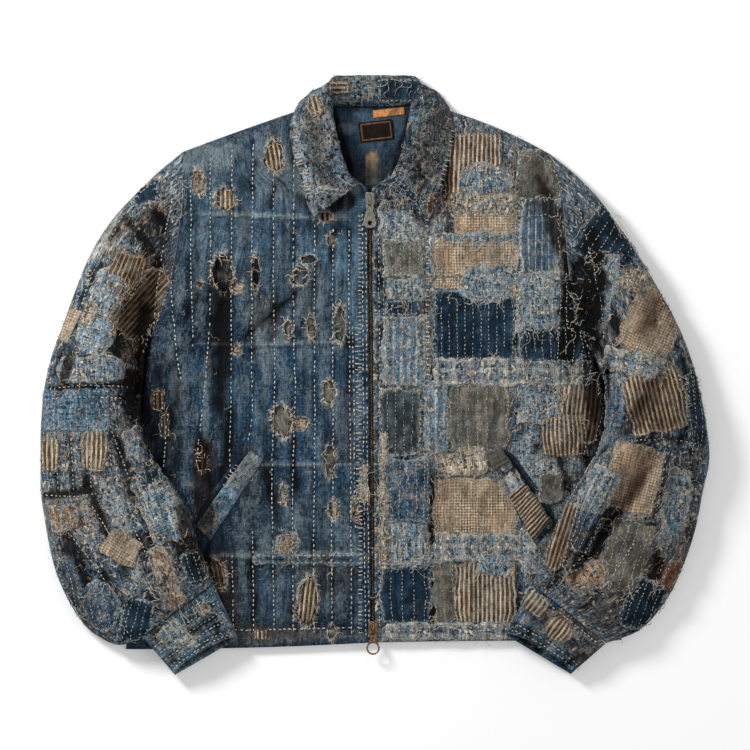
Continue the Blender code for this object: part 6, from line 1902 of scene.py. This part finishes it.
# %% Points along frayed edges
def spread(way, degrees):
    """Directions in plan, each turned at random by about so many degrees."""
    turn = np.radians(dice.normal(0, degrees, len(way)))
    c, n = np.cos(turn), np.sin(turn)
    return np.stack([way[:, 0] * c - way[:, 1] * n, way[:, 0] * n + way[:, 1] * c], axis=1)


FRINGE_ROOT = 0.93
fringes = []
for panel, _, p, seed in each_patch():
    round_it = p["half_w"] + p["half_h"]
    count = int(4 * round_it * 0.15 * p["fray"])
    place, across = dice.uniform(-1, 1, count), dice.random(count) < p["half_w"] / round_it
    edge = np.where(dice.random(count) < 0.5, -1.0, 1.0)
    s, t = np.where(across, place, edge), np.where(across, edge, place)
    inner = np.stack(turned(p, s * FRINGE_ROOT, t * FRINGE_ROOT, seed), axis=1)
    outer = np.stack(turned(p, s, t, seed), axis=1)
    way = spread(outer - inner, 55)
    length = dice.uniform(0.35, 1.25, count) * (0.6 + 0.5 * p["fray"])
    at = inner * 0.6 + outer * 0.4
    width, tone = dice.uniform(0.8, 1.3, count), dice.random(count)
    fringes.append(spots_at(panel, at[:, 0], at[:, 1], way, length, width, tone, 0.1))

hole_threads = []
for h in HOLES:
    count = int(0.7 * (h["rx"] + h["ry"]))
    angle = dice.uniform(0, 2 * math.pi, count)
    dx, dy = h["rx"] * 1.06 * np.cos(angle), h["ry"] * 1.04 * np.sin(angle)
    round_it = dice.random(count) < 0.75
    way = np.where(round_it[:, None], np.stack([-dy, dx], axis=1), np.stack([-0.2 * dx, -dy], axis=1))
    way = spread(way, 18)
    length = np.minimum(dice.uniform(0.5, 1.6, count), 0.14 * h["ry"])
    width, tone = dice.uniform(0.6, 1.0, count), 0.4 + 0.6 * dice.random(count)
    hole_threads.append(spots_at("front_right", h["x"] + dx, h["y"] + dy, way, length, width, tone, 0.5))
print("fringes:", sum(map(len, fringes)), "threads at holes:", sum(map(len, hole_threads)))


# %% Loose threads on fuzzy cloth, and long strings
def scattered(obj, per_cm2):
    """Points on a piece's cloth, more of them where it is fuzzy."""
    mesh = obj.data
    fuzz, co = np.empty(len(mesh.vertices), np.float32), np.empty(len(mesh.vertices) * 3, np.float32)
    mesh.attributes["fuzz"].data.foreach_get("value", fuzz)
    mesh.vertices.foreach_get("co", co)
    corners = np.array([p.vertices[:] for p in mesh.polygons if len(p.vertices) == 4])
    co = co.reshape(-1, 3)[corners] / MM
    normal = np.cross(co[:, 2] - co[:, 0], co[:, 3] - co[:, 1])
    area = np.linalg.norm(normal, axis=1) / 2
    weight = area * fuzz[corners].mean(axis=1) * (normal[:, 2] / np.maximum(2 * area, 1e-9) > 0.2)
    count = int(weight.sum() / 100 * per_cm2)
    if count < 1:
        return np.empty((0, 13))
    pick = dice.choice(len(area), count, p=weight / weight.sum())
    a, b = dice.random((2, count, 1))
    at = (co[pick, 0] * (1 - a) + co[pick, 1] * a) * (1 - b) + (co[pick, 3] * (1 - a) + co[pick, 2] * a) * b
    up = normal[pick] / (2 * area[pick])[:, None]
    along = dice.normal(size=(count, 3))
    size = np.stack([dice.uniform(0.25, 0.8, count)] * 2 + [dice.uniform(0.4, 1.0, count)], axis=1)
    return np.concatenate([at + 0.1 * up, along, up, size, dice.random((count, 1))], axis=1)


ON_PANELS, ON_PATCHES = 0.75, 1.2
fuzzy = [scattered(o, ON_PANELS) for o in panels.values()]
fuzzy += [scattered(o, ON_PATCHES) for o in patches.values() if "fuzz" in o.data.attributes]
MIXED_COTTON = cotton(
    "mixed_cotton", (0.25, "blue"), (0.4, "sky"), (0.6, "pale"), (0.75, "bone"), (0.88, "tan"), (0.98, "cream")
)
BROWN_COTTON = cotton("brown_cotton", (0.2, "brown"), (0.5, "tan"), (0.8, "cream"))
edge_threads = plant("frayed_edges", "fringe", MIXED_COTTON, fringes, 3)
threads_at_holes = plant("threads_at_holes", "fringe", BROWN_COTTON, hole_threads, 4)
loose_threads = plant("loose_threads", "curl", MIXED_COTTON, fuzzy, 5)

# Long strings hang over the dark patches from the frayed cloth above them.
strings = []
for panel, _, p, _ in each_patch():
    if p["cloth"] in ("navy", "slate", "stone", "ticking", "grey", "worn") and p["half_w"] > 20:
        count = 5 if p["cloth"] == "navy" else 2
        x, y = dice.uniform(p["x0"] + 6, p["x1"] - 10, count), p["y1"] - dice.uniform(0, 12, count)
        way = spread(np.tile((1.0, -0.35), (count, 1)), 40)
        length, width = dice.uniform(0.6, 1.3, count), dice.uniform(0.7, 1.2, count)
        strings.append(spots_at(panel, x, y, way, length, width, 0.55 + 0.4 * dice.random(count), 0.5))
long_strings = plant("long_strings", "string", MIXED_COTTON, strings, 8)


# %% The zip's teeth
TOOTH_PITCH = 1.45
low, high = (np.array(v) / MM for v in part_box("zip_chain"))
levels = np.arange(low[1] + 1, high[1] - 1, TOOTH_PITCH)
hands = np.where(np.arange(len(levels)) % 2, 1.0, -1.0)
middle = zip_x(levels)
heights = heights_on(node_tree("zip_chain"), middle, levels, low[2])
zero = 0 * levels
teeth = np.stack([middle + 0.75 * hands, levels, heights - 0.5, hands, zero, zero, zero, zero, zero + 1,
                  zero + 1, zero + 1, zero + 1, zero], axis=1)
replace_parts(plant("zip_teeth", "tooth", BRASS, [teeth], 6), "zip_chain")

# %% The floor
FAR = 20
floor = bpy.data.meshes.new("floor")
floor.from_pydata([(-FAR, -FAR, 0), (FAR, -FAR, 0), (FAR, FAR, 0), (-FAR, FAR, 0)], [], [(0, 1, 2, 3)])
table_top = bpy.data.objects.new("floor", floor)
bpy.context.collection.objects.link(table_top)
made, n, shader = new_material("pale_floor", 0.9)
n.put(shader.inputs["Base Color"], (0.86, 0.86, 0.86, 1.0))
n.put(shader.inputs["Emission Color"], (1.0, 1.0, 1.0, 1.0))
seen = n.add("ShaderNodeLightPath")
for mirrored in ("Is Glossy Ray", "Is Transmission Ray"):
    seen = n.math("MAXIMUM", seen, n.add("ShaderNodeLightPath", out=mirrored))
n.put(shader.inputs["Emission Strength"], n.times(seen, 0.2))
floor.materials.append(made)
print("floor:", 2 * FAR, "m wide")

# %% [markdown]
# ## The pieces over the welts
# Each piece of cloth was cut flat before it was sewn, and the sleeves and cuffs are tubes now. This
# part only picks out the two patches that lie over the left welt.

# %% Pick the patches that lie over each side's welt
for side in (RIGHT, LEFT):
    over = [pockets["welt_patch_top"], pockets["welt_patch_middle"]] if side == LEFT else []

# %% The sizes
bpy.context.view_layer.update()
shown = [o for o in bpy.data.objects if o.type == "MESH" and o.users_collection]
added = {o.name: sum(len(p.vertices) - 2 for p in o.data.polygons) for o in shown}
print("triangles:", sum(added.values()), sorted(added.items(), key=lambda v: -v[1])[:12])
